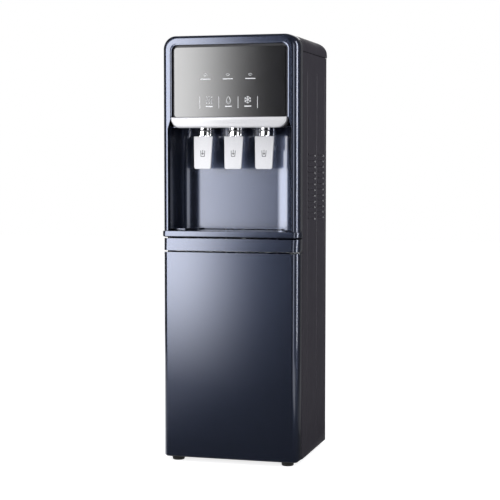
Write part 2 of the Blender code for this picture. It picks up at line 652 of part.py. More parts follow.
def panel_profile(side, swell):
    """Plan of a side panel's outer face from the front flange to the rear flange."""
    face, bend = side * HALF_WIDTH, CASE_CORNER * BEND_SHARE
    points = [(face - side * FLANGE, CASE_FRONT_Y), (face - side * bend, CASE_FRONT_Y)]
    points.append((face, CASE_FRONT_Y + bend))
    for share in RIB_SHARES:
        y, crest = SEAM_Y + CASE_DEPTH * share, RIB_HALF * RIB_CREST_SHARE
        out = face + side * RIB_PROUD * swell
        points += [(face, y - RIB_HALF), (out, y - crest), (out, y + crest), (face, y + RIB_HALF)]
    points += [(face, BACK_Y - CASE_CORNER), (face - side * bend, BACK_Y - bend)]
    return points + [(face - side * CASE_CORNER, BACK_Y), (face - side * FLANGE, BACK_Y)]


def add_louvres(side, hoods, slots):
    """Hoods that slope out and down over the slots; each slot opens under its hood's lip."""
    face = side * HALF_WIDTH
    root, lip = face - side * SHEET / 2, face + side * LOUVRE_PROUD
    inside, inner_lip = face - side * OVERRUN, lip - side * LOUVRE_WALL
    for shares in LOUVRE_SPAN_SHARES:
        near, far = (SEAM_Y + CASE_DEPTH * share for share in shares)
        for row in range(LOUVRE_ROWS):
            low = LOUVRE_LOW_Z + row * LOUVRE_PITCH
            top, sill = low + LOUVRE_TALL, low - LOUVRE_SILL
            add_prism(hoods, [(root, low), (lip, low), (root, top)], "y", near, far)
            slot = [(inside, sill), (inner_lip, sill), (inner_lip, low),
                    (root - side * LOUVRE_WALL, top), (inside, top)]
            add_prism(slots, slot, "y", near + LOUVRE_END, far - LOUVRE_END)


def make_side_panel(label, side):
    stations = ((CASE_LOW_Z, 0), (RIB_LOW_Z, 0), (RIB_LOW_Z + RIB_RAMP, 1),
                (RIB_TOP_Z - RIB_RAMP, 1), (RIB_TOP_Z, 0), (CASE_TOP_Z, 0))
    bm = bmesh.new()
    rows = []
    for z, swell in stations:
        row = [bm.verts.new((x, y, z)) for x, y in panel_profile(side, swell)]
        rows.append([bm.edges.new(pair) for pair in zip(row, row[1:])])
    for low, high in zip(rows, rows[1:]):
        bmesh.ops.bridge_loops(bm, edges=low + high)
    bmesh.ops.recalc_face_normals(bm, faces=bm.faces)
    widest = max(bm.faces, key=lambda face: face.calc_area())
    if widest.normal.x * side < 0:
        bmesh.ops.reverse_faces(bm, faces=bm.faces)
    bmesh.ops.solidify(bm, geom=bm.faces[:], thickness=SHEET)
    panel = place(f"side_panel_{label}", bm, CHARCOAL)
    hoods, slots = bmesh.new(), bmesh.new()
    add_louvres(side, hoods, slots)
    combine(panel, place(f"hoods_{label}", hoods, CHARCOAL, cutter=True), "UNION")
    combine(panel, place(f"slots_{label}", slots, CHARCOAL, cutter=True), "DIFFERENCE")


# Base plate with its four feet, and the vented back panel
BASE_SET_BACK = 0.008
BASE_SIDE_GAP = 0.0047
BASE_CORNER = 0.0112
FOOT_RADIUS = 0.0145
FOOT_TAPER = 0.0015
FOOT_INSET_X = 0.031
FOOT_INSET_Y = 0.030
VENT_ROWS = 8
VENT_PITCH = 0.014
VENT_TALL = 0.005
VENT_HALF = 0.055
VENT_RISE = 0.143


def make_base():
    half = HALF_WIDTH - BASE_SIDE_GAP
    plan = rounded((-half, FRONT_Y + BASE_SET_BACK), (half, BACK_Y - SEAT_GAP), BASE_CORNER, 3)
    prism("base_plate", plan, "z", FOOT_HEIGHT + SEAT_GAP, BASE_TOP_Z, ENAMEL)
    profile = [(0.0, 0.0), (FOOT_RADIUS - FOOT_TAPER, 0.0), (FOOT_RADIUS, FOOT_TAPER),
               (FOOT_RADIUS, FOOT_HEIGHT), (0.0, FOOT_HEIGHT)]
    x = HALF_WIDTH - FOOT_INSET_X
    for end, y in (("front", FRONT_Y + FOOT_INSET_Y), ("rear", BACK_Y - FOOT_INSET_Y)):
        turned(f"foot_{end}_left", profile, (-x, y), BLACK, 16)
        turned(f"foot_{end}_right", profile, (x, y), BLACK, 16)


def make_back_panel():
    half, inner_y = HALF_WIDTH - SHEET - SEAT_GAP, BACK_PANEL_Y - SHEET
    low, high = (-half, inner_y, BACK_LOW_Z), (half, BACK_PANEL_Y, CASE_TOP_Z)
    panel = box("back_panel", low, high, CHARCOAL)
    vents = bmesh.new()
    for x in (-HALF_WIDTH / 2, HALF_WIDTH / 2):
        for row in range(VENT_ROWS):
            z = TANK_DECK_Z + VENT_RISE + row * VENT_PITCH
            add_box(vents, (x - VENT_HALF, inner_y - OVERRUN, z),
                    (x + VENT_HALF, BACK_PANEL_Y + OVERRUN, z + VENT_TALL))
    combine(panel, place("back_vents", vents, CHARCOAL, cutter=True), "DIFFERENCE")


# Top: a hollow cover with a round opening, the bottle seat whose rim lies in it, and the spike
COVER_WALL = 0.0030
REAR_RADIUS = 0.022
WELL_RADIUS = 0.1000
WELL_FLOOR_RADIUS = 0.0930
WELL_DEPTH = 0.026
WELL_SLOPE = 0.0020
WELL_STEPS = 32
RIM_WIDE = 0.0040
RIM_THICK = 0.0015
COLLAR_BORE = 0.026
COLLAR_WALL = 0.0025
COLLAR_DEPTH = 0.065
SPIKE_RADIUS = 0.0110
SPIKE_BORE = 0.0065
SPIKE_TIP_RADIUS = 0.0082
SPIKE_DROP = 0.0100
COVER_LOW_Z = HEIGHT - TOP_COVER_HEIGHT
COLLAR_LOW_Z = HEIGHT - COLLAR_DEPTH
WELL_Y = (SEAM_Y + BACK_Y) / 2


def make_cover_block(name, inset, overrun, cutter):
    """The cover's outer or inner form: two large top corners, and a round edge at the rear."""
    low, front = COVER_LOW_Z - overrun, CASE_FRONT_Y + inset
    block = prism(name, top_outline(low, inset), "y", front, BACK_Y + OVERRUN, CHARCOAL, cutter=cutter)
    corner, start = (BACK_Y - REAR_RADIUS, HEIGHT - REAR_RADIUS), SEAM_Y - OVERRUN
    side = arc(corner, REAR_RADIUS - inset, 0, 90, 6)
    side += [(corner[0], HEIGHT + OVERRUN), (start, HEIGHT + OVERRUN)]
    side += [(start, low - OVERRUN), (BACK_Y - inset, low - OVERRUN)]
    reach = HALF_WIDTH + OVERRUN
    limits = prism(f"{name}_side", side, "x", -reach, reach, CHARCOAL, cutter=True)
    return combine(block, limits, "INTERSECT")


def make_top():
    cover = make_cover_block("top_cover", 0.0, 0.0, False)
    combine(cover, make_cover_block("cover_hollow", COVER_WALL, OVERRUN, True), "DIFFERENCE")
    centre, ledge_z, wall = (0.0, WELL_Y), HEIGHT - RIM_THICK, COLLAR_WALL
    rim, mouth = WELL_RADIUS + RIM_WIDE, WELL_RADIUS + SEAT_GAP
    opening = [(0.0, ledge_z - OVERRUN), (mouth, ledge_z - OVERRUN), (mouth, ledge_z),
               (rim + SEAT_GAP, ledge_z), (rim + SEAT_GAP, HEIGHT + OVERRUN), (0.0, HEIGHT + OVERRUN)]
    hole = turned("cover_opening", opening, centre, CHARCOAL, WELL_STEPS, cutter=True)
    combine(cover, hole, "DIFFERENCE")
    floor, inner = HEIGHT - WELL_DEPTH, SPIKE_RADIUS + SEAT_GAP
    rising = floor + WELL_SLOPE
    seat = [(COLLAR_BORE, COLLAR_LOW_Z + wall), (COLLAR_BORE, floor),
            (WELL_FLOOR_RADIUS - wall, rising), (WELL_RADIUS - wall, HEIGHT), (rim, HEIGHT),
            (rim, ledge_z + SEAT_GAP), (WELL_RADIUS, ledge_z + SEAT_GAP),
            (WELL_FLOOR_RADIUS, rising - wall), (COLLAR_BORE + wall, floor - wall),
            (COLLAR_BORE + wall, COLLAR_LOW_Z), (inner, COLLAR_LOW_Z), (inner, COLLAR_LOW_Z + wall)]
    turned("bottle_collar", seat, centre, LINER, WELL_STEPS)
    flange_z, flange = COLLAR_LOW_Z + wall + SEAT_GAP, COLLAR_BORE - SEAT_GAP
    tip_z = HEIGHT - SPIKE_DROP
    spike = [(SPIKE_BORE, COLLAR_LOW_Z), (SPIKE_RADIUS, COLLAR_LOW_Z), (SPIKE_RADIUS, flange_z),
             (flange, flange_z), (flange, flange_z + wall), (SPIKE_RADIUS, flange_z + wall),
             (SPIKE_RADIUS, tip_z - SPIKE_RADIUS), (SPIKE_TIP_RADIUS, tip_z), (SPIKE_BORE, tip_z)]
    turned("bottle_spike", spike, centre, WHITE, 20)


# Cooling circuit: where the compressor and the condenser stand
COMP_RADIUS = 0.044
COMP_RISE = 0.0183
COMP_TALL = 0.120
COMP_REAR = 0.062
COMP_SIDE = 0.105
COND_TUBE = 0.0024
COND_SIDE = 0.047
COND_STAND_OFF = 0.0040
COND_RISE = 0.040
COND_TALL = 0.270
COMP_X = HALF_WIDTH - COMP_SIDE
COMP_Y = BACK_Y - COMP_REAR
COMP_LOW_Z = BASE_TOP_Z + COMP_RISE
COMP_TOP_Z = COMP_LOW_Z + COMP_TALL
COND_Y = BACK_Y + COND_STAND_OFF
COND_HALF = HALF_WIDTH - COND_SIDE
COND_LOW_Z = BACK_LOW_Z + COND_RISE
COND_TOP_Z = COND_LOW_Z + COND_TALL


# Storage cabinet behind the door, its wire shelf, and the magnet catch
CABINET_SIDE_GAP = 0.0015
CABINET_SET_BACK = 0.0024
CABINET_TOP_GAP = 0.0074
CABINET_REAR_GAP = 0.020
CABINET_WALL = 0.0020
SHELF_RISE_SHARE = 0.51
SHELF_WIRE = 0.0020
SHELF_BARS = 9
SHELF_LEDGE = 0.006
CATCH_TALL = 0.030
CATCH_DEEP = 0.014
CATCH_SET_BACK = 0.003
NOSE_TALL = 0.016
CABINET_HALF = HALF_WIDTH - SHEET - CABINET_SIDE_GAP
CABINET_LOW_Z = BASE_TOP_Z + SEAT_GAP
CABINET_TOP_Z = TANK_SHELF_Z - CABINET_TOP_GAP
CABINET_BACK_Y = COMP_Y - COMP_RADIUS - CABINET_REAR_GAP
SHELF_Z = CABINET_LOW_Z + (CABINET_TOP_Z - CABINET_LOW_Z) * SHELF_RISE_SHARE


def make_cabinet_liner():
    wall = CABINET_WALL
    liner = box("cabinet_liner", (-CABINET_HALF, CASE_FRONT_Y + CABINET_SET_BACK, CABINET_LOW_Z),
                (CABINET_HALF, CABINET_BACK_Y, CABINET_TOP_Z), LINER)
    half, back = CABINET_HALF - wall, CABINET_BACK_Y - wall
    hollow = box("cabinet_hollow", (-half, CASE_FRONT_Y - OVERRUN, CABINET_LOW_Z + wall),
                 (half, back, CABINET_TOP_Z - wall), LINER, cutter=True)
    combine(liner, hollow, "DIFFERENCE")
    ledges = bmesh.new()
    low, high = SHELF_Z - SHELF_WIRE * 2, SHELF_Z - SHELF_WIRE - SEAT_GAP
    for side in (-1, 1):
        edge = side * (half + wall / 2)
        left, right = sorted((edge, edge - side * SHELF_LEDGE))
        add_box(ledges, (left, CASE_FRONT_Y + FLANGE, low), (right, back + wall / 2, high))
    combine(liner, place("shelf_ledges", ledges, LINER, cutter=True), "UNION")


def make_storage_shelf():
    reach = CABINET_HALF - CABINET_WALL - SEAT_GAP
    half, back = reach - SHELF_WIRE, CABINET_BACK_Y - CABINET_WALL - SEAT_GAP - SHELF_WIRE
    front = CASE_FRONT_Y + FLANGE + SHELF_WIRE
    start, end = (-reach, front, SHELF_Z), (reach, front, SHELF_Z)
    shelf = rod("storage_shelf", start, end, SHELF_WIRE, WHITE, 8)
    wires = [((-reach, back, SHELF_Z), (reach, back, SHELF_Z))]
    for i in range(SHELF_BARS):
        x = half * (2 * i / (SHELF_BARS - 1) - 1)
        wires.append(((x, front - SHELF_WIRE / 2, SHELF_Z), (x, back + SHELF_WIRE / 2, SHELF_Z)))
    for i, (start, end) in enumerate(wires):
        wire = rod(f"shelf_wire_{i}", start, end, SHELF_WIRE, WHITE, 8, cutter=True)
        combine(shelf, wire, "UNION")


def make_magnet_catch():
    front, right = CASE_FRONT_Y + CATCH_SET_BACK, STRIKE_X + STRIKE_WIDE
    left, low, high = -CABINET_HALF + CABINET_WALL, STRIKE_Z - CATCH_TALL / 2, STRIKE_Z + CATCH_TALL / 2
    catch = box("magnet_catch", (left + SEAT_GAP, front, low), (right, front + CATCH_DEEP, high), DARK)
    nose_y = GASKET_FRONT_Y + STRIKE_THICK + SEAT_GAP
    nose = box("catch_nose", (STRIKE_X + SEAT_GAP, nose_y, STRIKE_Z - NOSE_TALL / 2),
               (right - SEAT_GAP, front + CATCH_SET_BACK, STRIKE_Z + NOSE_TALL / 2), DARK, cutter=True)
    combine(catch, nose, "UNION")


# Door hinges: steel plates, each with the door's pin in it
BRACKET_THICK = 0.0012
BRACKET_HALF = 0.00455
BRACKET_LONG = 0.020


def make_hinges():
    inner, outer = HINGE_X - BRACKET_LONG, HINGE_X + BRACKET_HALF
    front, seam = HINGE_Y - BRACKET_HALF, SEAM_Y - SEAT_GAP
    tail, rear = HALF_WIDTH - FLANGE - SEAT_GAP, CASE_FRONT_Y + BRACKET_LONG
    mouth = [(inner, front), (outer, front), (outer, seam)]
    engaged = DOOR_END_THICK + PIN_ENGAGED / 2
    for label, plan, low, pin_end in (
        ("lower", mouth + [(inner, seam)], BASE_TOP_Z + SEAT_GAP, DOOR_LOW_Z + engaged),
        ("upper", mouth + [(tail, seam), (tail, rear), (inner, rear)],
         TANK_DECK_Z + SEAT_GAP, DOOR_TOP_Z - engaged),
    ):
        bracket = prism(f"door_hinge_{label}", plan, "z", low, low + BRACKET_THICK, STEEL)
        ends = sorted((low + BRACKET_THICK / 2, pin_end))
        pin = rod(f"hinge_pin_{label}", (HINGE_X, HINGE_Y, ends[0]), (HINGE_X, HINGE_Y, ends[1]),
                  HINGE_PIN, STEEL, 16, cutter=True)
        combine(bracket, pin, "UNION")


# Tanks: hot tank in its seat on the shelf, cold tank in its foam jacket on a four-legged stand
COLD_WALL = 0.0015
COLD_TALL = 0.190
COLD_DROP = 0.010
COLD_SIDES = 28
HOT_RADIUS = 0.045
HOT_END_RADIUS = 0.036
HOT_SHOULDER = 0.010
HOT_TALL = 0.135
HOT_SEAT_TALL = 0.0081
HOT_SEAT_RADIUS = 0.034
HOT_SEAT_BORE = 0.0225
BAND_TALL = 0.020
BAND_WALL = 0.0020
STAND_GAP = 0.0040
POST = 0.010
TUBE_RADIUS = 0.0040
SUCTION_RADIUS = 0.0032
SUCTION_HOLE = 0.0064
SUCTION_SIDE = 0.040
SUCTION_REAR = 0.045
COLD_TOP_Z = COLLAR_LOW_Z - COLD_DROP
COLD_LOW_Z = COLD_TOP_Z - COLD_TALL
HOT_LOW_Z = TANK_DECK_Z + HOT_SEAT_TALL
HOT_TOP_Z = HOT_LOW_Z + HOT_TALL
SUCTION_X = HALF_WIDTH - SUCTION_SIDE
SUCTION_Y = BACK_Y - SUCTION_REAR


def make_tank_shelf():
    half = HALF_WIDTH - SHEET - SEAT_GAP
    shelf = box("tank_shelf", (-half, SEAM_Y + SEAM_GAP + FLANGE, TANK_SHELF_Z),
                (half, BACK_PANEL_Y - SHEET - SEAT_GAP, TANK_DECK_Z), STEEL)
    low, high = TANK_DECK_Z - TANK_SHELF_THICK / 2, HOT_LOW_Z - SEAT_GAP
    inner, outer = HOT_SEAT_BORE, HOT_SEAT_RADIUS
    seat = [(inner, low), (outer, low), (outer, high), (inner, high)]
    ring = turned("hot_tank_seat", seat, (0.0, TANK_Y), STEEL, 20, cutter=True)
    combine(shelf, ring, "UNION")
    low, high = TANK_SHELF_Z - OVERRUN, TANK_DECK_Z + OVERRUN
    hole = rod("suction_hole", (SUCTION_X, SUCTION_Y, low), (SUCTION_X, SUCTION_Y, high),
               SUCTION_HOLE, STEEL, 16, cutter=True)
    combine(shelf, hole, "DIFFERENCE")


def make_hot_tank():
    profile = [(0.0, HOT_LOW_Z), (HOT_END_RADIUS, HOT_LOW_Z), (HOT_RADIUS, HOT_LOW_Z + HOT_SHOULDER),
               (HOT_RADIUS, HOT_TOP_Z - HOT_SHOULDER), (HOT_END_RADIUS, HOT_TOP_Z), (0.0, HOT_TOP_Z)]
    tank = turned("hot_tank", profile, (0.0, TANK_Y), STEEL)
    inner, outer = HOT_RADIUS - BAND_WALL, HOT_RADIUS + BAND_WALL
    low = (HOT_LOW_Z + HOT_TOP_Z - BAND_TALL) / 2
    high = low + BAND_TALL
    band = [(inner, low), (outer, low), (outer, high), (inner, high)]
    ring = turned("hot_tank_band", band, (0.0, TANK_Y), STEEL, cutter=True)
    combine(tank, ring, "UNION")


def make_cold_tank():
    inner, low, high = COLD_RADIUS - COLD_WALL, COLD_LOW_Z + COLD_WALL, COLD_TOP_Z - COLD_WALL
    profile = [(0.0, COLD_LOW_Z), (COLD_RADIUS, COLD_LOW_Z), (COLD_RADIUS, COLD_TOP_Z),
               (COLLAR_BORE, COLD_TOP_Z), (COLLAR_BORE, high), (inner, high), (inner, low), (0.0, low)]
    turned("cold_tank", profile, (0.0, TANK_Y), STEEL, COLD_SIDES)
    inner, low, high = COLD_RADIUS + SEAT_GAP, COLD_LOW_Z - FOAM_WALL, COLD_TOP_Z - FOAM_WALL
    profile = [(0.0, low), (JACKET_RADIUS, low), (JACKET_RADIUS, high), (inner, high),
               (inner, COLD_LOW_Z - SEAT_GAP), (0.0, COLD_LOW_Z - SEAT_GAP)]
    turned("cold_tank_foam", profile, (0.0, TANK_Y), FOAM, COLD_SIDES)


def make_tank_stand():
    """A square steel plate under the jacket, on four legs round the hot tank."""
    reach = HOT_RADIUS + BAND_WALL + STAND_GAP
    top, wide = COLD_LOW_Z - FOAM_WALL - SEAT_GAP, reach + POST
    plate = rounded((-wide, TANK_Y - wide), (wide, TANK_Y + wide), POST, 2)
    stand = prism("tank_stand", plate, "z", top - BAND_WALL, top, STEEL)
    legs = bmesh.new()
    for side_x in (-1, 1):
        left, right = sorted((side_x * reach, side_x * (reach + BAND_WALL)))
        for side_y in (-1, 1):
            near, far = sorted((TANK_Y + side_y * reach, TANK_Y + side_y * (reach - POST)))
            add_box(legs, (left, near, TANK_DECK_Z + SEAT_GAP), (right, far, top - BAND_WALL / 2))
    combine(stand, place("stand_legs", legs, STEEL, cutter=True), "UNION")


# Water and refrigerant tubes
TUBE_STEPS = 4


def swept(name, points, radius, sides_share):
    """A curve object along the points, with filled ends."""
    curve = bpy.data.curves.new(name, "CURVE")
    curve.dimensions = "3D"
    curve.bevel_depth = radius
    curve.bevel_resolution = sides_share
    curve.use_fill_caps = True
    spline = curve.splines.new("POLY")
    spline.points.add(len(points) - 1)
    for point, at in zip(spline.points, points):
        point.co = (*at, 1.0)
    obj = bpy.data.objects.new(name, curve)
    bpy.context.scene.collection.objects.link(obj)
    return obj


def make_tube(name, points, radius, finish):
    """A bent tube along a smooth curve through its own points, straight at both ends."""
    route = [Vector(p) for p in points]
    padded = [route[0], *route, route[-1]]
    smooth = []
    for before, start, end, after in zip(padded, route, route[1:], padded[3:]):
        leave, arrive = (end - before) / 2, (after - start) / 2
        for k in range(TUBE_STEPS):
            t = k / TUBE_STEPS
            cubic = 2 * (start - end) + leave + arrive
            square = 3 * (end - start) - 2 * leave - arrive
            smooth.append(((cubic * t + square) * t + leave) * t + start)
    first = route[0] + (route[1] - route[0]).normalized() * radius
    last = route[-1] - (route[-1] - route[-2]).normalized() * radius
    tube = swept(name, [route[0], first, *smooth[2:], last, route[-1]], radius, 2)
    tube.data.materials.append(finish_of(*finish))


def make_water_tubes():
    """Cold, ambient and hot tubes, each from its tap's head up and over to a tank."""
    top, run = NECK_TOP_Z + LINK_GAP, TUBE_RADIUS * 4
    rise, alley = NECK_TOP_Z + run, ALCOVE_BACK_Y - run
    touch = JACKET_RADIUS + TUBE_RADIUS + LINK_GAP
    reach = JACKET_RADIUS + TUBE_RADIUS * 3
    tall = COLD_LOW_Z + FOAM_WALL * 5
    make_tube("ambient_water_tube", [
        (0.0, TAP_Y, top), (0.0, TAP_Y, rise), (0.0, alley, rise + TUBE_RADIUS),
        (0.0, TANK_Y - touch, tall)], TUBE_RADIUS, LINER)
    make_tube("cold_water_tube", [
        (TAP_SPACING, TAP_Y, top), (TAP_SPACING, TAP_Y, rise), (reach, alley, rise),
        (reach, TANK_Y - run, COLD_LOW_Z + FOAM_WALL * 4),
        (touch, TANK_Y, COLD_LOW_Z + FOAM_WALL)], TUBE_RADIUS, LINER)
    elbow_z = HOT_TOP_Z - HOT_SHOULDER * 2
    make_tube("hot_water_tube", [
        (-TAP_SPACING, TAP_Y, top), (-TAP_SPACING, TAP_Y, rise), (-reach, alley, rise),
        (-reach, TANK_Y, COLD_LOW_Z), (-reach, TANK_Y, HOT_TOP_Z), (-reach, TANK_Y, elbow_z),
        (-HOT_RADIUS - LINK_GAP, TANK_Y, elbow_z)], TUBE_RADIUS, LINER)


# Compressor on its mount
DOME = 0.022
MOUNT_THICK = 0.0012
MOUNT_DEEP_SHARE = 0.6
GROMMET_RADIUS = 0.0063
GROMMET_X_SHARE = 0.8
GROMMET_Y_SHARE = 0.4


def make_compressor():
    crown = COMP_RADIUS - DOME
    shell = [(0.0, COMP_LOW_Z)] + arc((crown, COMP_LOW_Z + DOME), DOME, -90, 0, 4)
    shell += arc((crown, COMP_TOP_Z - DOME), DOME, 0, 90, 4) + [(0.0, COMP_TOP_Z)]
    turned("compressor", shell, (COMP_X, COMP_Y), ENAMEL)
    top, deep = COMP_LOW_Z - SEAT_GAP, COMP_RADIUS * MOUNT_DEEP_SHARE
    mount = box("compressor_mount", (COMP_X - COMP_RADIUS, COMP_Y - deep, top - MOUNT_THICK),
                (COMP_X + COMP_RADIUS, COMP_Y + deep, top), STEEL)
    posts = bmesh.new()
    for side_x in (-1, 1):
        for side_y in (-1, 1):
            x = COMP_X + side_x * COMP_RADIUS * GROMMET_X_SHARE
            y = COMP_Y + side_y * COMP_RADIUS * GROMMET_Y_SHARE
            low, high = BASE_TOP_Z + SEAT_GAP, top - MOUNT_THICK / 2
            add_rod(posts, (x, y, low), (x, y, high), GROMMET_RADIUS, 10)
    combine(mount, place("mount_grommets", posts, BLACK, cutter=True), "UNION")


# Condenser: a tube that runs to and fro up the back, upright wires on it, and four lugs
COND_RUNS = 8
WIRE_RADIUS = 0.0010
WIRE_COUNT = 7
WIRE_SPREAD_SHARE = 0.9
WIRE_OVER = 0.0129
LUG_TALL = 0.008
LUG_SHARES = (0.85, 0.95)
STUB_SHARE = 0.3
DRIER_RADIUS = 0.0090
DRIER_LONG = 0.090


def condenser_route():
    pitch = COND_TALL / (COND_RUNS - 1)
    points = []
    for run in range(COND_RUNS):
        z, side = COND_LOW_Z + run * pitch, 1 if run % 2 == 0 else -1
        points += [(-side * COND_HALF, COND_Y, z), (side * COND_HALF, COND_Y, z)]
        if run < COND_RUNS - 1:
            turn = arc((COND_HALF, z + pitch / 2), pitch / 2, -90, 90, 4)[1:-1]
            points += [(side * x, COND_Y, height) for x, height in turn]
    return points


def make_condenser():
    guide = swept("condenser_run", condenser_route(), COND_TUBE, 1)
    bpy.context.view_layer.update()
    graph = bpy.context.evaluated_depsgraph_get()
    mesh = bpy.data.meshes.new_from_object(guide.evaluated_get(graph))
    bm = bmesh.new()
    bm.from_mesh(mesh)
    bpy.data.objects.remove(guide, do_unlink=True)
    bpy.data.meshes.remove(mesh)
    condenser = place("condenser", bm, ENAMEL)
    wires, y = bmesh.new(), COND_Y + COND_TUBE
    for i in range(WIRE_COUNT):
        x = COND_HALF * WIRE_SPREAD_SHARE * (2 * i / (WIRE_COUNT - 1) - 1)
        start, end = (x, y, COND_LOW_Z - WIRE_OVER), (x, y, COND_TOP_Z + WIRE_OVER)
        add_rod(wires, start, end, WIRE_RADIUS, 4)
    combine(condenser, place("condenser_wires", wires, ENAMEL, cutter=True), "UNION")
    lugs = bmesh.new()
    for side in (-1, 1):
        left, right = sorted(side * COND_HALF * share for share in LUG_SHARES)
        for z in (COND_LOW_Z, COND_TOP_Z):
            low, high = z - LUG_TALL / 2, z + LUG_TALL / 2
            add_box(lugs, (left, BACK_PANEL_Y + SEAT_GAP, low), (right, COND_Y, high))
    combine(condenser, place("condenser_lugs", lugs, ENAMEL, cutter=True), "UNION")


def make_refrigerant_tubes():
    top, crown = COMP_TOP_Z + LINK_GAP, COMP_TOP_Z + LINK_GAP + DOME
    stub = COMP_RADIUS * STUB_SHARE
    out_x, back_x = COMP_X - stub, COMP_X + stub
    make_tube("discharge_tube", [
        (out_x, COMP_Y, top), (out_x, COMP_Y, crown), (0.0, BACK_Y - DOME, BACK_LOW_Z - DOME * 2),
        (-COND_HALF, COND_Y, BACK_LOW_Z - DOME), (-COND_HALF - TUBE_RADIUS * 4, COND_Y, COND_LOW_Z),
        (-COND_HALF - LINK_GAP, COND_Y, COND_LOW_Z)], COND_TUBE, COPPER)
    behind = TANK_Y + JACKET_RADIUS + TUBE_RADIUS + LINK_GAP
    make_tube("suction_tube", [
        (back_x, COMP_Y, top), (back_x, COMP_Y, crown), (SUCTION_X, SUCTION_Y, BACK_LOW_Z),
        (SUCTION_X, SUCTION_Y, TANK_SHELF_Z), (SUCTION_X, SUCTION_Y, HOT_TOP_Z),
        (COMP_X, behind, COLD_LOW_Z), (0.0, behind, COLD_LOW_Z + FOAM_WALL * 3)],
        SUCTION_RADIUS, COPPER)
    low = COND_TOP_Z + COND_TUBE + SEAT_GAP
    high, neck = low + DRIER_LONG, DRIER_RADIUS
    drier = [(0.0, low), (COND_TUBE, low), (DRIER_RADIUS, low + neck), (DRIER_RADIUS, high - neck),
             (COND_TUBE, high), (0.0, high)]
    turned("filter_drier", drier, (-COND_HALF, BACK_Y), COPPER, 16)


# Rear controls: two rocker switches in a housing, the power inlet and the drain plug
SWITCH_SIDE = 0.080
SWITCH_DROP = 0.1215
HOUSING_WIDE = 0.062
HOUSING_TALL = 0.040
HOUSING_DEEP = 0.0120
ROCKER_WIDE = 0.0200
ROCKER_TALL = 0.0260
ROCKER_DEEP = 0.0080
ROCKER_SPACING = 0.0280
ROCKER_PROUD = 0.0035
ROCKER_DISH = 0.0015
ROCKER_SIDE_GAP = 0.0006
ROCKER_END_GAP = 0.0012
INLET_WIDE = 0.034
INLET_TALL = 0.028
INLET_POCKET = 0.0100
PLUG_SIDE = 0.075
PLUG_RISE = 0.015
PLUG_RADIUS = 0.0085
PLUG_LONG = 0.0100
SWITCH_X = HALF_WIDTH - SWITCH_SIDE
SWITCH_Z = CASE_TOP_Z - SWITCH_DROP
REAR_Y = BACK_PANEL_Y + SEAT_GAP
HOUSING_FACE_Y = REAR_Y + HOUSING_DEEP


def plate_at(name, x, wide, tall, near, far, cutter=False):
    """A block on the back, centred on x and at the controls' height."""
    return box(name, (x - wide / 2, near, SWITCH_Z - tall / 2),
               (x + wide / 2, far, SWITCH_Z + tall / 2), DARK, cutter=cutter)


def make_rocker(label, x, housing):
    wide, tall = ROCKER_WIDE + ROCKER_SIDE_GAP * 2, ROCKER_TALL + ROCKER_END_GAP * 2
    bottom, past = HOUSING_FACE_Y - ROCKER_DEEP, HOUSING_FACE_Y + OVERRUN
    pocket = plate_at(f"{label}_pocket", x, wide, tall, bottom, past, cutter=True)
    combine(housing, pocket, "DIFFERENCE")
    hub, end = HOUSING_FACE_Y - ROCKER_PROUD / 2, HOUSING_FACE_Y + ROCKER_PROUD
    low, high = SWITCH_Z - ROCKER_TALL / 2, SWITCH_Z + ROCKER_TALL / 2
    profile = [(bottom + SEAT_GAP, SWITCH_Z), (hub - ROCKER_PROUD, high), (end, high),
               (end - ROCKER_DISH, SWITCH_Z), (end, low), (hub - ROCKER_PROUD, low)]
    half = ROCKER_WIDE / 2
    prism(f"{label}_rocker", profile, "x", x - half, x + half, BLACK, (x, hub, SWITCH_Z))


def make_rear_controls():
    housing = plate_at("switch_housing", SWITCH_X, HOUSING_WIDE, HOUSING_TALL, REAR_Y, HOUSING_FACE_Y)
    make_rocker("heating", SWITCH_X - ROCKER_SPACING / 2, housing)
    make_rocker("cooling", SWITCH_X + ROCKER_SPACING / 2, housing)
    inlet = plate_at("power_inlet", -SWITCH_X, INLET_WIDE, INLET_TALL, REAR_Y, HOUSING_FACE_Y)
    wide, tall = INLET_WIDE - SKIN * 2, INLET_TALL - SKIN * 2
    bottom, past = HOUSING_FACE_Y - INLET_POCKET, HOUSING_FACE_Y + OVERRUN
    socket = plate_at("inlet_socket", -SWITCH_X, wide, tall, bottom, past, cutter=True)
    combine(inlet, socket, "DIFFERENCE")
    x, z = HALF_WIDTH - PLUG_SIDE, BACK_LOW_Z + PLUG_RISE
    rod("drain_plug", (x, REAR_Y, z), (x, REAR_Y + PLUG_LONG, z), PLUG_RADIUS, BLACK, 16)


clear_scene()
make_front_frame()
make_control_panel()
make_alcove_liner()
for tap_label, tap_x in TAPS:
    make_tap(tap_label, tap_x)
make_drip_tray()
make_drip_grille()
make_fascia()
make_door_outer()
make_door_inside()
make_side_panel("left", -1)
make_side_panel("right", 1)
make_base()
make_back_panel()
make_top()
make_cabinet_liner()
make_storage_shelf()
make_magnet_catch()
make_hinges()
make_tank_shelf()
make_hot_tank()
make_cold_tank()
make_tank_stand()
make_water_tubes()
make_compressor()
make_condenser()
make_refrigerant_tubes()
make_rear_controls()
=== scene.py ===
from math import asin, copysign, cos, pi, radians, sin

import bmesh
import bpy
from mathutils import Matrix, Vector


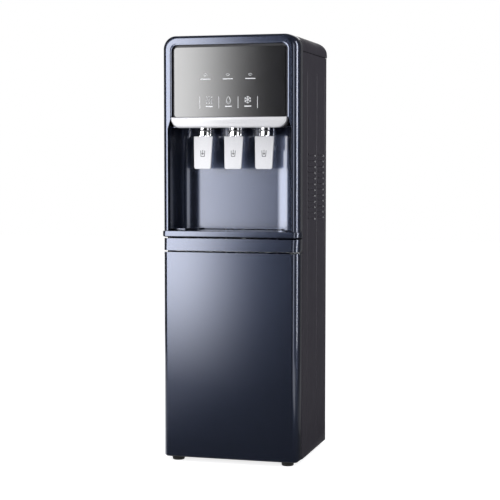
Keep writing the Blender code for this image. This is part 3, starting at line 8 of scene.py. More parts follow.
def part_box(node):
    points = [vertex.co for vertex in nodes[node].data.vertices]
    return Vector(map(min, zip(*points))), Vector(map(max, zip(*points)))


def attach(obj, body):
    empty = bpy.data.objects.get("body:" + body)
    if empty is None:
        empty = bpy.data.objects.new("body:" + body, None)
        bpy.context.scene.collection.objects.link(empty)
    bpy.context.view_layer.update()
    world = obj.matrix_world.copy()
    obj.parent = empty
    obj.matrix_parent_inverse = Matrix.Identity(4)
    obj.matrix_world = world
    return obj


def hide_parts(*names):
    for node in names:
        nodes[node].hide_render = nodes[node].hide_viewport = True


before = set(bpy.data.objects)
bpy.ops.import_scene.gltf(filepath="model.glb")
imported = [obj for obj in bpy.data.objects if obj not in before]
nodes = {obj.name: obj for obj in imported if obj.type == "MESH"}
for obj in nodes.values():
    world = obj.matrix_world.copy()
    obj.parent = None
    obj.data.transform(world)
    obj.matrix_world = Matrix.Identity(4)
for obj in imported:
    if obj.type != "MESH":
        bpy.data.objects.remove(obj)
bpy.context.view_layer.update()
scene = bpy.context.scene

# Camera, at the photograph's angle. It stands right of the front, at the height of the taps,
# and looks slightly down.
CAMERA_PLACE = (0.929, -3.300, 0.712)
CAMERA_YAW = 15.575
CAMERA_PITCH = 3.63
CAMERA_LENS = 102.07
SENSOR_WIDTH = 36.0

camera_data = bpy.data.cameras.new("camera")
camera_data.lens = CAMERA_LENS
camera_data.sensor_width = SENSOR_WIDTH
camera = bpy.data.objects.new("camera", camera_data)
camera.location = CAMERA_PLACE
camera.rotation_euler = (radians(90 - CAMERA_PITCH), 0.0, radians(CAMERA_YAW))
scene.collection.objects.link(camera)
scene.camera = camera
scene.view_settings.view_transform = "Standard"


# Studio: a pale seamless floor in an even white room. The floor is white to the camera and in
# reflections, and still takes the cooler's shadow.
FLOOR_REACH = 9.0
FLOOR_GREY = (0.52, 0.52, 0.53, 1.0)
FLOOR_WHITE = 0.80
ROOM_LEVEL = 0.45
ROOM_TINT = (0.95, 0.96, 1.0, 1.0)


def shader_tree(name):
    """A new material, its node tree and its Principled shader."""
    material = bpy.data.materials.new(name)
    material.use_nodes = True
    return material, material.node_tree, material.node_tree.nodes["Principled BSDF"]


def link(tree, source, output, target, socket):
    """Joins an output of one node to an input of another."""
    tree.links.new(source.outputs[output], target.inputs[socket])


def seen_white(tree):
    """One for a camera, glossy or transmission ray, else zero."""
    ray = tree.nodes.new("ShaderNodeLightPath")
    either = tree.nodes.new("ShaderNodeMath")
    either.operation = "MAXIMUM"
    link(tree, ray, "Is Camera Ray", either, 0)
    link(tree, ray, "Is Glossy Ray", either, 1)
    seen = tree.nodes.new("ShaderNodeMath")
    seen.operation = "MAXIMUM"
    link(tree, either, 0, seen, 0)
    link(tree, ray, "Is Transmission Ray", seen, 1)
    return seen


def stage_sheet(name, bm, material):
    """Makes a sheet of the studio, which is no part of the cooler."""
    mesh = bpy.data.meshes.new(name)
    bm.to_mesh(mesh)
    bm.free()
    sheet = bpy.data.objects.new(name, mesh)
    mesh.materials.append(material)
    scene.collection.objects.link(sheet)
    return sheet


floor_material, tree, shader = shader_tree("pale_floor")
shader.inputs["Base Color"].default_value = FLOOR_GREY
shader.inputs["Roughness"].default_value = 0.9
shader.inputs["Specular IOR Level"].default_value = 0.0
seen = seen_white(tree)
level = tree.nodes.new("ShaderNodeMath")
level.operation = "MULTIPLY"
level.inputs[1].default_value = FLOOR_WHITE
white = tree.nodes.new("ShaderNodeEmission")
both = tree.nodes.new("ShaderNodeAddShader")
link(tree, seen, 0, level, 0)
link(tree, level, 0, white, "Strength")
link(tree, shader, 0, both, 0)
link(tree, white, 0, both, 1)
link(tree, both, 0, tree.nodes["Material Output"], 0)
bm = bmesh.new()
bmesh.ops.create_grid(bm, x_segments=1, y_segments=1, size=FLOOR_REACH)
stage_sheet("floor", bm, floor_material)

world = bpy.data.worlds.new("room")
world.use_nodes = True
scene.world = world
tree = world.node_tree
room = tree.nodes["Background"]
room.inputs[0].default_value = ROOM_TINT
room.inputs[1].default_value = ROOM_LEVEL
backdrop = tree.nodes.new("ShaderNodeBackground")
backdrop.inputs[0].default_value = (1.0, 1.0, 1.0, 1.0)
mix = tree.nodes.new("ShaderNodeMixShader")
link(tree, seen_white(tree), 0, mix, 0)
link(tree, room, 0, mix, 1)
link(tree, backdrop, 0, mix, 2)
link(tree, mix, 0, tree.nodes["World Output"], 0)


# Lights: a large soft box at the left, a narrow one at the right, one overhead, and a fill
# beside the camera that only matt surfaces take up.
def soft_box(name, place, target, size, power, glossy=True):
    """A rectangular lamp at a place, turned to its target."""
    lamp = bpy.data.lights.new(name, "AREA")
    lamp.shape = "RECTANGLE"
    lamp.size, lamp.size_y = size
    lamp.energy = power
    obj = bpy.data.objects.new(name, lamp)
    obj.location = place
    obj.rotation_euler = (Vector(target) - Vector(place)).to_track_quat("-Z", "Y").to_euler()
    obj.visible_glossy = glossy
    scene.collection.objects.link(obj)


soft_box("left_box", (-2.1, -1.6, 1.4), (0.0, 0.0, 0.7), (0.9, 2.0), 26)
soft_box("right_box", (1.75, 0.35, 1.0), (0.16, -0.1, 0.9), (0.35, 1.9), 22)
soft_box("top_box", (0.0, -0.9, 2.9), (0.0, 0.0, 0.8), (1.6, 1.6), 22)
soft_box("fill_box", (0.2, -3.2, 1.5), (0.0, 0.0, 0.6), (1.4, 1.4), 34, False)


# Studio cards, which only reflections show, as a photographer stands them round a glossy
# product: a front one lit at the left and weakly at the right, a faint one at the rear, and
# black flags at the sides, overhead and on the floor, which draw the dark outlines.
CARD_Y = -1.20
CARD_LEFT = -1.90
CARD_RIGHT = 1.80
CARD_TALL = 2.70
CARD_LIFT = 0.004
CARD_FOOT_Y = -0.172
FLAG_REAR_Y = 1.60
REAR_FLAG_X = 0.17
RIGHT_FLAG_Y = 0.20
LEFT_GLOW = 9.0
RIGHT_GLOW = 2.5
REAR_GLOW = 0.10
CARD_DARK = 0.04
LEFT_START = ("X", -0.11, -0.50)
LEFT_END = ("X", -1.75, -1.35)
LEFT_UP = ("Z", -0.06, 0.42)
RIGHT_START = ("X", 0.70, 0.95)
RIGHT_END = ("X", 1.79, 1.60)
RIGHT_UP = ("Z", -0.5, 0.3)
REAR_START = ("X", 0.22, 0.40)
REAR_END = ("X", 0.90, 0.70)
TOP_END = ("Z", 1.65, 1.35)


def fade(tree, place, axis, start, end):
    """Rises smoothly from zero at start to one at end, along one of the sheet's own axes."""
    span = tree.nodes.new("ShaderNodeMapRange")
    span.interpolation_type = "SMOOTHSTEP"
    span.inputs["From Min"].default_value = start
    span.inputs["From Max"].default_value = end
    link(tree, place, axis, span, "Value")
    return span


def math_of(tree, operation, first, second):
    """A maths node fed by one node and by another node or a number."""
    node = tree.nodes.new("ShaderNodeMath")
    node.operation = operation
    link(tree, first, 0, node, 0)
    if isinstance(second, float):
        node.inputs[1].default_value = second
    else:
        link(tree, second, 0, node, 1)
    return node


def card_material(name, glows):
    """Emission that is dark but for each glow, a strength and its fades."""
    material, tree, shader = shader_tree(name)
    tree.nodes.remove(shader)
    material.cycles.emission_sampling = "NONE"
    coords = tree.nodes.new("ShaderNodeTexCoord")
    place = tree.nodes.new("ShaderNodeSeparateXYZ")
    link(tree, coords, "Object", place, 0)
    total = None
    for strength, fades in glows:
        part = fade(tree, place, *fades[0])
        for limits in fades[1:]:
            part = math_of(tree, "MULTIPLY", part, fade(tree, place, *limits))
        part = math_of(tree, "MULTIPLY", part, strength)
        total = math_of(tree, "ADD", total, part) if total else part
    lamp = tree.nodes.new("ShaderNodeEmission")
    lamp.inputs["Strength"].default_value = CARD_DARK
    if total:
        link(tree, math_of(tree, "ADD", total, CARD_DARK), 0, lamp, "Strength")
    link(tree, lamp, 0, tree.nodes["Material Output"], 0)
    return material


def verts_of(geom):
    """The vertices among the items that an operator returns."""
    return [item for item in geom if isinstance(item, bmesh.types.BMVert)]


def card(name, start, end, steps, material):
    """A sheet drawn out from the edge between two points, seen by reflections alone."""
    bm = bmesh.new()
    edge = bm.edges.new([bm.verts.new(start), bm.verts.new(end)])
    for step in steps:
        moved = verts_of(bmesh.ops.extrude_edge_only(bm, edges=[edge])["geom"])
        bmesh.ops.translate(bm, verts=moved, vec=step)
        edge = next(item for item in moved[0].link_edges if item.other_vert(moved[0]) in moved)
    sheet = stage_sheet(name, bm, material)
    sheet.visible_camera = sheet.visible_diffuse = sheet.visible_shadow = False
    sheet.visible_transmission = sheet.visible_volume_scatter = False


front_light = card_material("front_card", [
    (LEFT_GLOW, [LEFT_START, LEFT_START, LEFT_END, LEFT_UP, TOP_END]),
    (RIGHT_GLOW, [RIGHT_START, RIGHT_END, RIGHT_UP, TOP_END])])
flag = card_material("black_flag", [])
rear_light = card_material("rear_card", [(REAR_GLOW, [REAR_START, REAR_END])])
upright = (0.0, 0.0, CARD_TALL)
card("front_card", (CARD_LEFT, CARD_FOOT_Y, CARD_LIFT), (CARD_RIGHT, CARD_FOOT_Y, CARD_LIFT),
     [(0.0, CARD_Y - CARD_FOOT_Y, 0.0), upright], front_light)
for name, x in (("left_card", CARD_LEFT), ("right_card", CARD_RIGHT)):
    card(name, (x, CARD_Y, CARD_LIFT), (x, FLAG_REAR_Y, CARD_LIFT), [upright], flag)
card("rear_card", (CARD_RIGHT, RIGHT_FLAG_Y, CARD_LIFT), (REAR_FLAG_X, RIGHT_FLAG_Y, CARD_LIFT),
     [(0.0, FLAG_REAR_Y - RIGHT_FLAG_Y, 0.0), upright], rear_light)
card("side_card", (CARD_RIGHT, CARD_FOOT_Y, CARD_LIFT), (REAR_FLAG_X, CARD_FOOT_Y, CARD_LIFT),
     [(0.0, RIGHT_FLAG_Y - CARD_FOOT_Y, 0.0)], flag)
card("top_card", (CARD_LEFT, CARD_Y, CARD_TALL + CARD_LIFT),
     (CARD_RIGHT, CARD_Y, CARD_TALL + CARD_LIFT), [(0.0, FLAG_REAR_Y - CARD_Y, 0.0)], flag)


# Front mouldings: the upper frame, the fascia, the door skin, the tray and the alcove are
# injection moulded in a dark blue plastic with fine metal flakes, and have a satin gloss.
MOTTLE = 14.0
COAT_ROUGH = 0.12
FLAKES = 2200.0
FLAKE_METAL = 0.78
FLAKE_MOTTLE = 9.0
SKIN_GRAIN = 260.0
SKIN_RELIEF = 0.000004
WELD_REACH = 0.00001
BEVEL_ANGLE = 35
CREASE_ANGLE = 32
MOULDED_EDGE = 0.0006
MIDDLE_HALF = (0.25, 0.75)
FLAT_WEIGHT = 80


def grain_of(tree, scale, detail=2.0, stretch=(1.0, 1.0, 1.0)):
    """Noise on the piece's own coordinates, in cells per metre."""
    coords = tree.nodes.new("ShaderNodeTexCoord")
    place = tree.nodes.new("ShaderNodeMapping")
    place.inputs["Scale"].default_value = stretch
    noise = tree.nodes.new("ShaderNodeTexNoise")
    noise.inputs["Scale"].default_value = scale
    noise.inputs["Detail"].default_value = detail
    link(tree, coords, "Object", place, 0)
    link(tree, place, 0, noise, "Vector")
    return noise


def vary(tree, noise, socket, low, high):
    """Drives a shader's value between low and high with the noise's middle half."""
    span = tree.nodes.new("ShaderNodeMapRange")
    span.interpolation_type = "SMOOTHSTEP"
    span.inputs["From Min"].default_value = MIDDLE_HALF[0]
    span.inputs["From Max"].default_value = MIDDLE_HALF[1]
    span.inputs["To Min"].default_value = low
    span.inputs["To Max"].default_value = high
    link(tree, noise, 0, span, "Value")
    tree.links.new(span.outputs[0], socket)


def tint(tree, noise, shader, dark, light, start=0.35, end=0.65):
    """Colours the shader between two shades with the noise."""
    ramp = tree.nodes.new("ShaderNodeValToRGB")
    ramp.color_ramp.elements[0].color = (*dark, 1.0)
    ramp.color_ramp.elements[1].color = (*light, 1.0)
    ramp.color_ramp.elements[0].position = start
    ramp.color_ramp.elements[1].position = end
    link(tree, noise, 0, ramp, 0)
    link(tree, ramp, 0, shader, "Base Color")


def rough_skin(tree, noise, shader, height):
    """A shallow relief, in metres, from the noise."""
    bump = tree.nodes.new("ShaderNodeBump")
    bump.inputs["Distance"].default_value = height
    link(tree, noise, 0, bump, "Height")
    link(tree, bump, 0, shader, "Normal")


def finish(name, dark, light, rough, metal=0.0, grain=900.0, relief=0.0, coat=0.0,
           gloss=0.5, stretch=(1.0, 1.0, 1.0)):
    """A moulded, painted or plated finish with mottled colour, uneven gloss and a fine relief."""
    material, tree, shader = shader_tree(name)
    fine = grain_of(tree, grain, stretch=stretch)
    tint(tree, fine, shader, dark, light)
    vary(tree, grain_of(tree, MOTTLE), shader.inputs["Roughness"], *rough)
    shader.inputs["Metallic"].default_value = metal
    shader.inputs["Specular IOR Level"].default_value = gloss
    shader.inputs["Coat Weight"].default_value = coat
    shader.inputs["Coat Roughness"].default_value = COAT_ROUGH
    if relief:
        rough_skin(tree, fine, shader, relief)
    return material


def flaked(name, deep, flake, rough, coat, coat_rough):
    """A pigmented plastic with bright metal flakes under a clear gloss."""
    material, tree, shader = shader_tree(name)
    coords = tree.nodes.new("ShaderNodeTexCoord")
    cells = tree.nodes.new("ShaderNodeTexVoronoi")
    cells.inputs["Scale"].default_value = FLAKES
    link(tree, coords, "Object", cells, "Vector")
    sparkle = tree.nodes.new("ShaderNodeSeparateColor")
    link(tree, cells, "Color", sparkle, 0)
    tint(tree, sparkle, shader, deep, flake, 0.2, 1.0)
    vary(tree, grain_of(tree, FLAKE_MOTTLE), shader.inputs["Roughness"], *rough)
    shader.inputs["Metallic"].default_value = FLAKE_METAL
    shader.inputs["Coat Weight"].default_value = coat
    shader.inputs["Coat Roughness"].default_value = coat_rough
    rough_skin(tree, grain_of(tree, SKIN_GRAIN, 1.0), shader, SKIN_RELIEF)
    return material


def soften(obj, edge):
    """Joins loose facets, rounds the sharp edges and keeps the flat faces flat."""
    obj.data.shade_smooth()
    weld = obj.modifiers.new("join", "WELD")
    weld.merge_threshold = WELD_REACH
    if edge:
        bevel = obj.modifiers.new("soft_edge", "BEVEL")
        bevel.width = edge
        bevel.segments = 2
        bevel.limit_method = "ANGLE"
        bevel.angle_limit = radians(BEVEL_ANGLE)
        bevel.use_clamp_overlap = True
    split = obj.modifiers.new("crease", "EDGE_SPLIT")
    split.split_angle = radians(CREASE_ANGLE)
    flatten = obj.modifiers.new("flat_faces", "WEIGHTED_NORMAL")
    flatten.weight = FLAT_WEIGHT


def dress(node, material, edge=0.0):
    """Gives a CAD node its finish and softens its moulded edges."""
    obj = nodes[node]
    obj.data.materials.clear()
    obj.data.materials.append(material)
    soften(obj, edge)


navy = flaked("metallic_navy", (0.020, 0.0275, 0.052), (0.043, 0.052, 0.087), (0.258, 0.268),
              1.0, 0.08)
for name in ("fascia_band", "door_outer", "drip_tray"):
    dress(name, navy, MOULDED_EDGE)


# Control glass: a black glass panel that is laid flush into a dark moulded carrier and glued,
# with the board of the indicator lamps behind it.
GLASS_EDGE = 0.0004
CARRIER_EDGE = 0.0003
glass_finish = finish("black_glass", (0.008, 0.008, 0.009), (0.011, 0.011, 0.013), (0.13, 0.16),
                      grain=60.0, coat=1.0, gloss=0.45)
dark_plastic = finish("dark_plastic", (0.012, 0.012, 0.015), (0.024, 0.024, 0.028), (0.42, 0.52),
                      grain=1800.0, relief=0.00002, gloss=0.35)
dress("control_glass", glass_finish, GLASS_EDGE)
for name in ("panel_carrier", "indicator_board"):
    dress(name, dark_plastic, CARRIER_EDGE)


# Upper front frame: one moulding round the control glass and the alcove. Its front edge is
# drawn back all round, wide at the sides and narrower along the top, and it clips to the sides.
FRAME_TURN = 0.030
FRAME_TURN_STEPS = 14
EDGE_SIDE = 0.0157
EDGE_TOP = 0.0078
EDGE_DEEP = 0.0280
EDGE_STEPS = 16
OPENING_GAP = 0.0060
OPENING_TURN = 0.0130
FLARE_ABOVE = 0.0045
FLARE_BELOW = 0.0015
CHEEK = 0.0160
OVERRUN = 0.010
NEAR = 0.001
FRAME_SOFT = 0.0012
MERGE = 0.000002
glass_low, glass_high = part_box("control_glass")
frame_low, frame_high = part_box("upper_front_frame")


def new_piece(name, bm, material, body, smooth=32):
    """Makes a piece of a bmesh, closes it, shades it and lets it ride on its body."""
    bmesh.ops.remove_doubles(bm, verts=bm.verts, dist=MERGE)
    bmesh.ops.recalc_face_normals(bm, faces=bm.faces)
    mesh = bpy.data.meshes.new(name)
    bm.to_mesh(mesh)
    bm.free()
    mesh.shade_smooth()
    mesh.set_sharp_from_angle(angle=radians(smooth))
    mesh.materials.append(material)
    obj = bpy.data.objects.new(name, mesh)
    scene.collection.objects.link(obj)
    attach(obj, body)
    return obj


def round_off(bm, geom, affect, offset, segments):
    """Rounds the given corners of an outline, or the given edges of a body."""
    bmesh.ops.bevel(bm, geom=geom, affect=affect, offset=offset, segments=segments,
                    profile=0.5, material=-1)


def open_edges(bm):
    """The edges that bound a hole or the rim of a sheet."""
    return [edge for edge in bm.edges if edge.is_boundary]


def front_plate(bm, low, high, y, radius, rounded, segments=8):
    """A flat outline that faces the front, with the chosen corners rounded."""
    middle = Vector(((low[0] + high[0]) / 2, y, (low[1] + high[1]) / 2))
    size = Matrix.Diagonal((high[0] - low[0], high[1] - low[1], 1.0, 1.0))
    turn = Matrix.Rotation(pi / 2, 4, "X")
    bmesh.ops.create_grid(bm, x_segments=1, y_segments=1, size=0.5,
                          matrix=Matrix.Translation(middle) @ turn @ size)
    corners = [vert for vert in bm.verts if rounded(vert)]
    round_off(bm, corners, "VERTICES", radius, segments)
    bm.faces.ensure_lookup_table()
    return bm.faces[0]


def thicken_back(bm, far_y):
    """Pulls the open rim of a front plate back to far_y and closes it there."""
    for vert in verts_of(bmesh.ops.extrude_edge_only(bm, edges=open_edges(bm))["geom"]):
        vert.co.y = far_y
    bmesh.ops.holes_fill(bm, edges=open_edges(bm))


def mesh_of(obj):
    """An object's mesh with its modifiers or its curve worked out."""
    bpy.context.view_layer.update()
    ready = obj.evaluated_get(bpy.context.evaluated_depsgraph_get())
    return bpy.data.meshes.new_from_object(ready)


def cut_away(piece, cutter_bm):
    """Cuts a finished piece with a closed shape and keeps the result as its mesh."""
    bmesh.ops.recalc_face_normals(cutter_bm, faces=cutter_bm.faces)
    cutter_mesh = bpy.data.meshes.new("cutter")
    cutter_bm.to_mesh(cutter_mesh)
    cutter_bm.free()
    cutter = bpy.data.objects.new("cutter", cutter_mesh)
    scene.collection.objects.link(cutter)
    cut = piece.modifiers.new("cut", "BOOLEAN")
    cut.object = cutter
    cut.operation = "DIFFERENCE"
    cut.solver = "EXACT"
    mesh = mesh_of(piece)
    piece.modifiers.clear()
    piece.data = mesh
    bpy.data.objects.remove(cutter, do_unlink=True)


bm = bmesh.new()
face = front_plate(bm, (frame_low.x, frame_low.z), (frame_high.x, frame_high.z),
                   frame_low.y + EDGE_DEEP, FRAME_TURN,
                   lambda vert: vert.co.z > frame_high.z - NEAR, FRAME_TURN_STEPS)
foot = Matrix.Translation((0.0, 0.0, frame_low.z))
for step in range(EDGE_STEPS):
    before, now = [pi / 2 * count / EDGE_STEPS for count in (step, step + 1)]
    wide = [frame_high.x - EDGE_SIDE * (1 - cos(angle)) for angle in (before, now)]
    turned = [max(0.0, 1 - EDGE_DEEP / EDGE_TOP * (1 - sin(angle))) for angle in (before, now)]
    tall = [frame_high.z - frame_low.z - EDGE_TOP * (1 - cos(asin(part))) for part in turned]
    shrink = Matrix.Diagonal((wide[1] / wide[0], 1.0, tall[1] / tall[0], 1.0))
    forward = Matrix.Translation((0.0, -EDGE_DEEP * (sin(now) - sin(before)), 0.0))
    face = bmesh.ops.extrude_discrete_faces(bm, faces=[face])["faces"][0]
    bmesh.ops.transform(bm, matrix=forward @ foot @ shrink @ foot.inverted(), verts=face.verts[:])
thicken_back(bm, frame_high.y)
surround = new_piece("front_surround", bm, navy, "cabinet")
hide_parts("upper_front_frame")
opening = bmesh.new()
front_plate(opening, (glass_low.x - OPENING_GAP, glass_low.z + FLARE_ABOVE),
            (glass_high.x + OPENING_GAP, glass_high.z + OPENING_GAP), frame_low.y - OVERRUN,
            OPENING_TURN, lambda vert: vert.co.z > glass_high.z)
for z in (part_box("alcove_liner")[1].z + FLARE_BELOW, frame_low.z - OVERRUN):
    lowest = min(opening.edges, key=lambda edge: edge.verts[0].co.z + edge.verts[1].co.z)
    for vert in verts_of(bmesh.ops.extrude_edge_only(opening, edges=[lowest])["geom"]):
        vert.co.x, vert.co.z = copysign(frame_high.x - CHEEK, vert.co.x), z
thicken_back(opening, frame_high.y + OVERRUN)
cut_away(surround, opening)
soften(surround, FRAME_SOFT)


# Bead round the opening: a narrow raised rim of the frame's plastic, moulded in one with it,
# that runs into the glass and hides the glass's edge.
TRIM_REACH = 0.0095
TRIM_RADIUS = 0.0165
TRIM_DROP = 0.0030
TRIM_SUNK = 0.0004
TRIM_INTO_GLASS = 0.0022
TRIM_STEPS = ((0.0003, 0.0009), (0.0025, -0.0007), (0.0009, -0.0012))


def crown(bm, face, steps):
    """Draws the face in and forward by each (width, rise) step."""
    for width, rise in steps:
        face = bmesh.ops.extrude_discrete_faces(bm, faces=[face])["faces"][0]
        points = [vert.co for vert in face.verts]
        low = Vector([min(point[i] for point in points) for i in range(3)])
        high = Vector([max(point[i] for point in points) for i in range(3)])
        span, middle = high - low, (low + high) / 2
        shrink = Matrix.Diagonal((1 - 2 * width / span.x, 1.0, 1 - 2 * width / span.z, 1.0))
        forward = Matrix.Translation(middle + Vector((0.0, -rise, 0.0)))
        bmesh.ops.transform(bm, matrix=forward @ shrink @ Matrix.Translation(-middle),
                            verts=face.verts[:])
    return face


bm = bmesh.new()
plate = front_plate(bm, (glass_low.x - TRIM_REACH, glass_low.z - TRIM_DROP),
                    (glass_high.x + TRIM_REACH, glass_high.z + TRIM_REACH),
                    frame_low.y + TRIM_SUNK, TRIM_RADIUS, lambda vert: vert.co.z > glass_high.z)
plate = crown(bm, plate, TRIM_STEPS)
inner_rim = plate.edges[:]
bmesh.ops.delete(bm, geom=[plate], context="FACES_ONLY")
for vert in verts_of(bmesh.ops.extrude_edge_only(bm, edges=inner_rim)["geom"]):
    vert.co.y = glass_low.y + TRIM_INTO_GLASS
bmesh.ops.bridge_loops(bm, edges=open_edges(bm))
new_piece("opening_trim", bm, navy, "cabinet", smooth=12)


# Printed marks on the glass: steam, drop and snowflake signs over the taps with bars in the
# place of words, four dividers, and a row of three small lamp signs.
MARK_THICK = 0.00015
SIGN_Z = 0.8507
SIGN_SPACING = 0.0464
SIGN_MIDDLE = -0.0018
BAR_Z, BAR_HALF, BAR_WIDE = 0.8359, 0.0075, 0.0024
DIVIDER_SPAN, DIVIDER_WIDE = (0.8317, 0.8582), 0.0011
STEAM_SHIFTS, STEAM_WIDE = (-0.0058, 0.0, 0.0058), 0.0019
STEAM_SWAY, STEAM_FOOT, STEAM_RISE, STEAM_POINTS = 0.0012, 0.0076, 0.0019, 9
DROP_HALF, DROP_TALL, DROP_WIDE, DROP_POINTS = 0.0062, 0.0088, 0.0016, 17
GLINT_DOWN, GLINT_RADIUS, GLINT_WIDE = 0.0030, 0.0028, 0.0014
GLINT_SPAN, LAMP_ARC_SPAN, ARC_STEPS = (200, 340), (20, 160), 6
ARM_LONG, ARM_WIDE = 0.0080, 0.0015
TWIG_AT, TWIG_LONG, TWIG_LEAN, TWIG_WIDE = 0.0047, 0.0032, 0.8, 0.0013
LAMP_Z = 0.9092
LAMP_SPACING = 0.0538
LAMP_MIDDLE = -0.0033
LAMP_BAR_Z, LAMP_BAR_HALF, LAMP_BAR_WIDE = 0.8991, 0.0115, 0.0020
LAMP_ARC_DOWN, LAMP_ARC_RADIUS, LAMP_ARC_TALL = 0.0022, 0.0048, 0.8
LAMP_BASE, LAMP_WIDE = 0.0026, 0.0010
mark_finish = finish("pale_print", (0.70, 0.71, 0.73), (0.84, 0.85, 0.87), (0.45, 0.55),
                     grain=700.0)
mark_y = glass_low.y - MARK_THICK


def block(bm, middle, size, turn=None):
    """Adds a box with its middle at a place, turned if asked, and returns its vertices."""
    place = Matrix.Translation(middle) @ (turn or Matrix.Identity(4))
    matrix = place @ Matrix.Diagonal((*size, 1.0))
    return bmesh.ops.create_cube(bm, size=1.0, matrix=matrix)["verts"]


def add_stroke(bm, points, wide, y=mark_y):
    """A printed line through (x, z) points, of thin flat bars that overlap at the turns."""
    for (x0, z0), (x1, z1) in zip(points, points[1:]):
        run = Vector((x1 - x0, 0.0, z1 - z0))
        turn = Vector((1, 0, 0)).rotation_difference(run).to_matrix().to_4x4()
        block(bm, ((x0 + x1) / 2, y + MARK_THICK / 2, (z0 + z1) / 2),
              (run.length + wide * 0.5, MARK_THICK, wide), turn)


def level_bar(bm, x, z, half, wide):
    """A printed level line with its middle at x, z."""
    add_stroke(bm, [(x - half, z), (x + half, z)], wide)


def arc_points(x, z, radius, span, tall=1.0):
    """Points along an arc that spans two angles in degrees, flattened where tall is under one."""
    start, end = span
    turns = [radians(start + (end - start) * i / ARC_STEPS) for i in range(ARC_STEPS + 1)]
    return [(x + radius * cos(a), z + radius * tall * sin(a)) for a in turns]


bm = bmesh.new()
for side in (-1.5, -0.5, 0.5, 1.5):
    add_stroke(bm, [(SIGN_MIDDLE + side * SIGN_SPACING, z) for z in DIVIDER_SPAN], DIVIDER_WIDE)
for side in (-1, 0, 1):
    level_bar(bm, SIGN_MIDDLE + side * SIGN_SPACING, BAR_Z, BAR_HALF, BAR_WIDE)
for shift in STEAM_SHIFTS:
    add_stroke(bm, [(SIGN_MIDDLE - SIGN_SPACING + shift - STEAM_SWAY * sin(i * pi / 4),
                     SIGN_Z - STEAM_FOOT + STEAM_RISE * i) for i in range(STEAM_POINTS)],
               STEAM_WIDE)
add_stroke(bm, [(SIGN_MIDDLE + DROP_HALF * sin(i * pi / 8) * sin(i * pi / 16),
                 SIGN_Z + DROP_TALL * cos(i * pi / 8)) for i in range(DROP_POINTS)],
           DROP_WIDE)
add_stroke(bm, arc_points(SIGN_MIDDLE, SIGN_Z - GLINT_DOWN, GLINT_RADIUS, GLINT_SPAN),
           GLINT_WIDE)
flake_x = SIGN_MIDDLE + SIGN_SPACING
for i in range(6):
    a = i * pi / 3 + pi / 6
    end = (flake_x + ARM_LONG * cos(a), SIGN_Z + ARM_LONG * sin(a))
    add_stroke(bm, [(flake_x, SIGN_Z), end], ARM_WIDE)
    fork = (flake_x + TWIG_AT * cos(a), SIGN_Z + TWIG_AT * sin(a))
    for lean in (-TWIG_LEAN, TWIG_LEAN):
        end = (fork[0] + TWIG_LONG * cos(a + lean), fork[1] + TWIG_LONG * sin(a + lean))
        add_stroke(bm, [fork, end], TWIG_WIDE)
new_piece("tap_signs", bm, mark_finish, "cabinet")

bm = bmesh.new()
for side in (-1, 0, 1):
    x = LAMP_MIDDLE + side * LAMP_SPACING
    level_bar(bm, x, LAMP_BAR_Z, LAMP_BAR_HALF, LAMP_BAR_WIDE)
    add_stroke(bm, arc_points(x, LAMP_Z - LAMP_ARC_DOWN, LAMP_ARC_RADIUS, LAMP_ARC_SPAN,
                              LAMP_ARC_TALL), LAMP_WIDE)
    level_bar(bm, x, LAMP_Z - LAMP_BASE, LAMP_BASE, LAMP_WIDE)
new_piece("lamp_signs", bm, mark_finish, "cabinet")


# Chin: a gloss white moulding with a crowned face and round lower corners, clipped to the
# carrier under the glass.
CHIN_CORNER = 0.0225
CHIN_CORNER_STEPS = 12
CHIN_STEPS = ((0.0003, 0.0028), (0.0009, 0.0014), (0.0018, 0.0009), (0.0028, 0.0005))
chin_white = finish("chin_white", (0.64, 0.64, 0.66), (0.68, 0.68, 0.70), (0.18, 0.24),
                    grain=500.0, coat=0.3, gloss=0.4)
chin_low, chin_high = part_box("chin_trim")
bm = bmesh.new()
rise = sum(step[1] for step in CHIN_STEPS)
plate = front_plate(bm, (chin_low.x, chin_low.z), (chin_high.x, chin_high.z), chin_low.y + rise,
                    CHIN_CORNER, lambda vert: vert.co.z < (chin_low.z + chin_high.z) / 2,
                    CHIN_CORNER_STEPS)
crown(bm, plate, CHIN_STEPS)
thicken_back(bm, chin_high.y)
chin = new_piece("chin_moulding", bm, chin_white, "cabinet", smooth=40)
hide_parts("chin_trim")


# Taps: a chromed brass neck with a spout under each one. The white press plate is clipped to
# a dark sprung lever that turns on a steel pin. Each plate has a printed cup with an arrow.
CUP = ((-0.0050, 0.0066), (-0.0041, -0.0066), (0.0041, -0.0066), (0.0050, 0.0066))
CUP_DOWN = 0.002
CUP_WIDE = 0.0015
SHAFT = (0.0080, -0.0020)
BARB = ((0.0, -0.0024), (0.0024, 0.0006))
BARB_WIDE = 0.0014
PLATE_LEAN = 0.007
TAP_EDGE = 0.0004
LEVER_EDGE = 0.0005
white_gloss = finish("gloss_white", (0.76, 0.76, 0.785), (0.80, 0.80, 0.825), (0.20, 0.26),
                     grain=500.0, coat=0.15, gloss=0.3)
chrome = finish("chrome_plate", (0.72, 0.72, 0.74), (0.80, 0.80, 0.82), (0.05, 0.09), metal=1.0,
                grain=300.0)
bare_steel = finish("bare_steel", (0.42, 0.43, 0.45), (0.55, 0.56, 0.58), (0.28, 0.40),
                    metal=1.0, grain=500.0, relief=0.000004, stretch=(1.0, 1.0, 0.04))
print_dark = finish("dark_print", (0.03, 0.03, 0.035), (0.06, 0.06, 0.065), (0.5, 0.6),
                    grain=700.0)
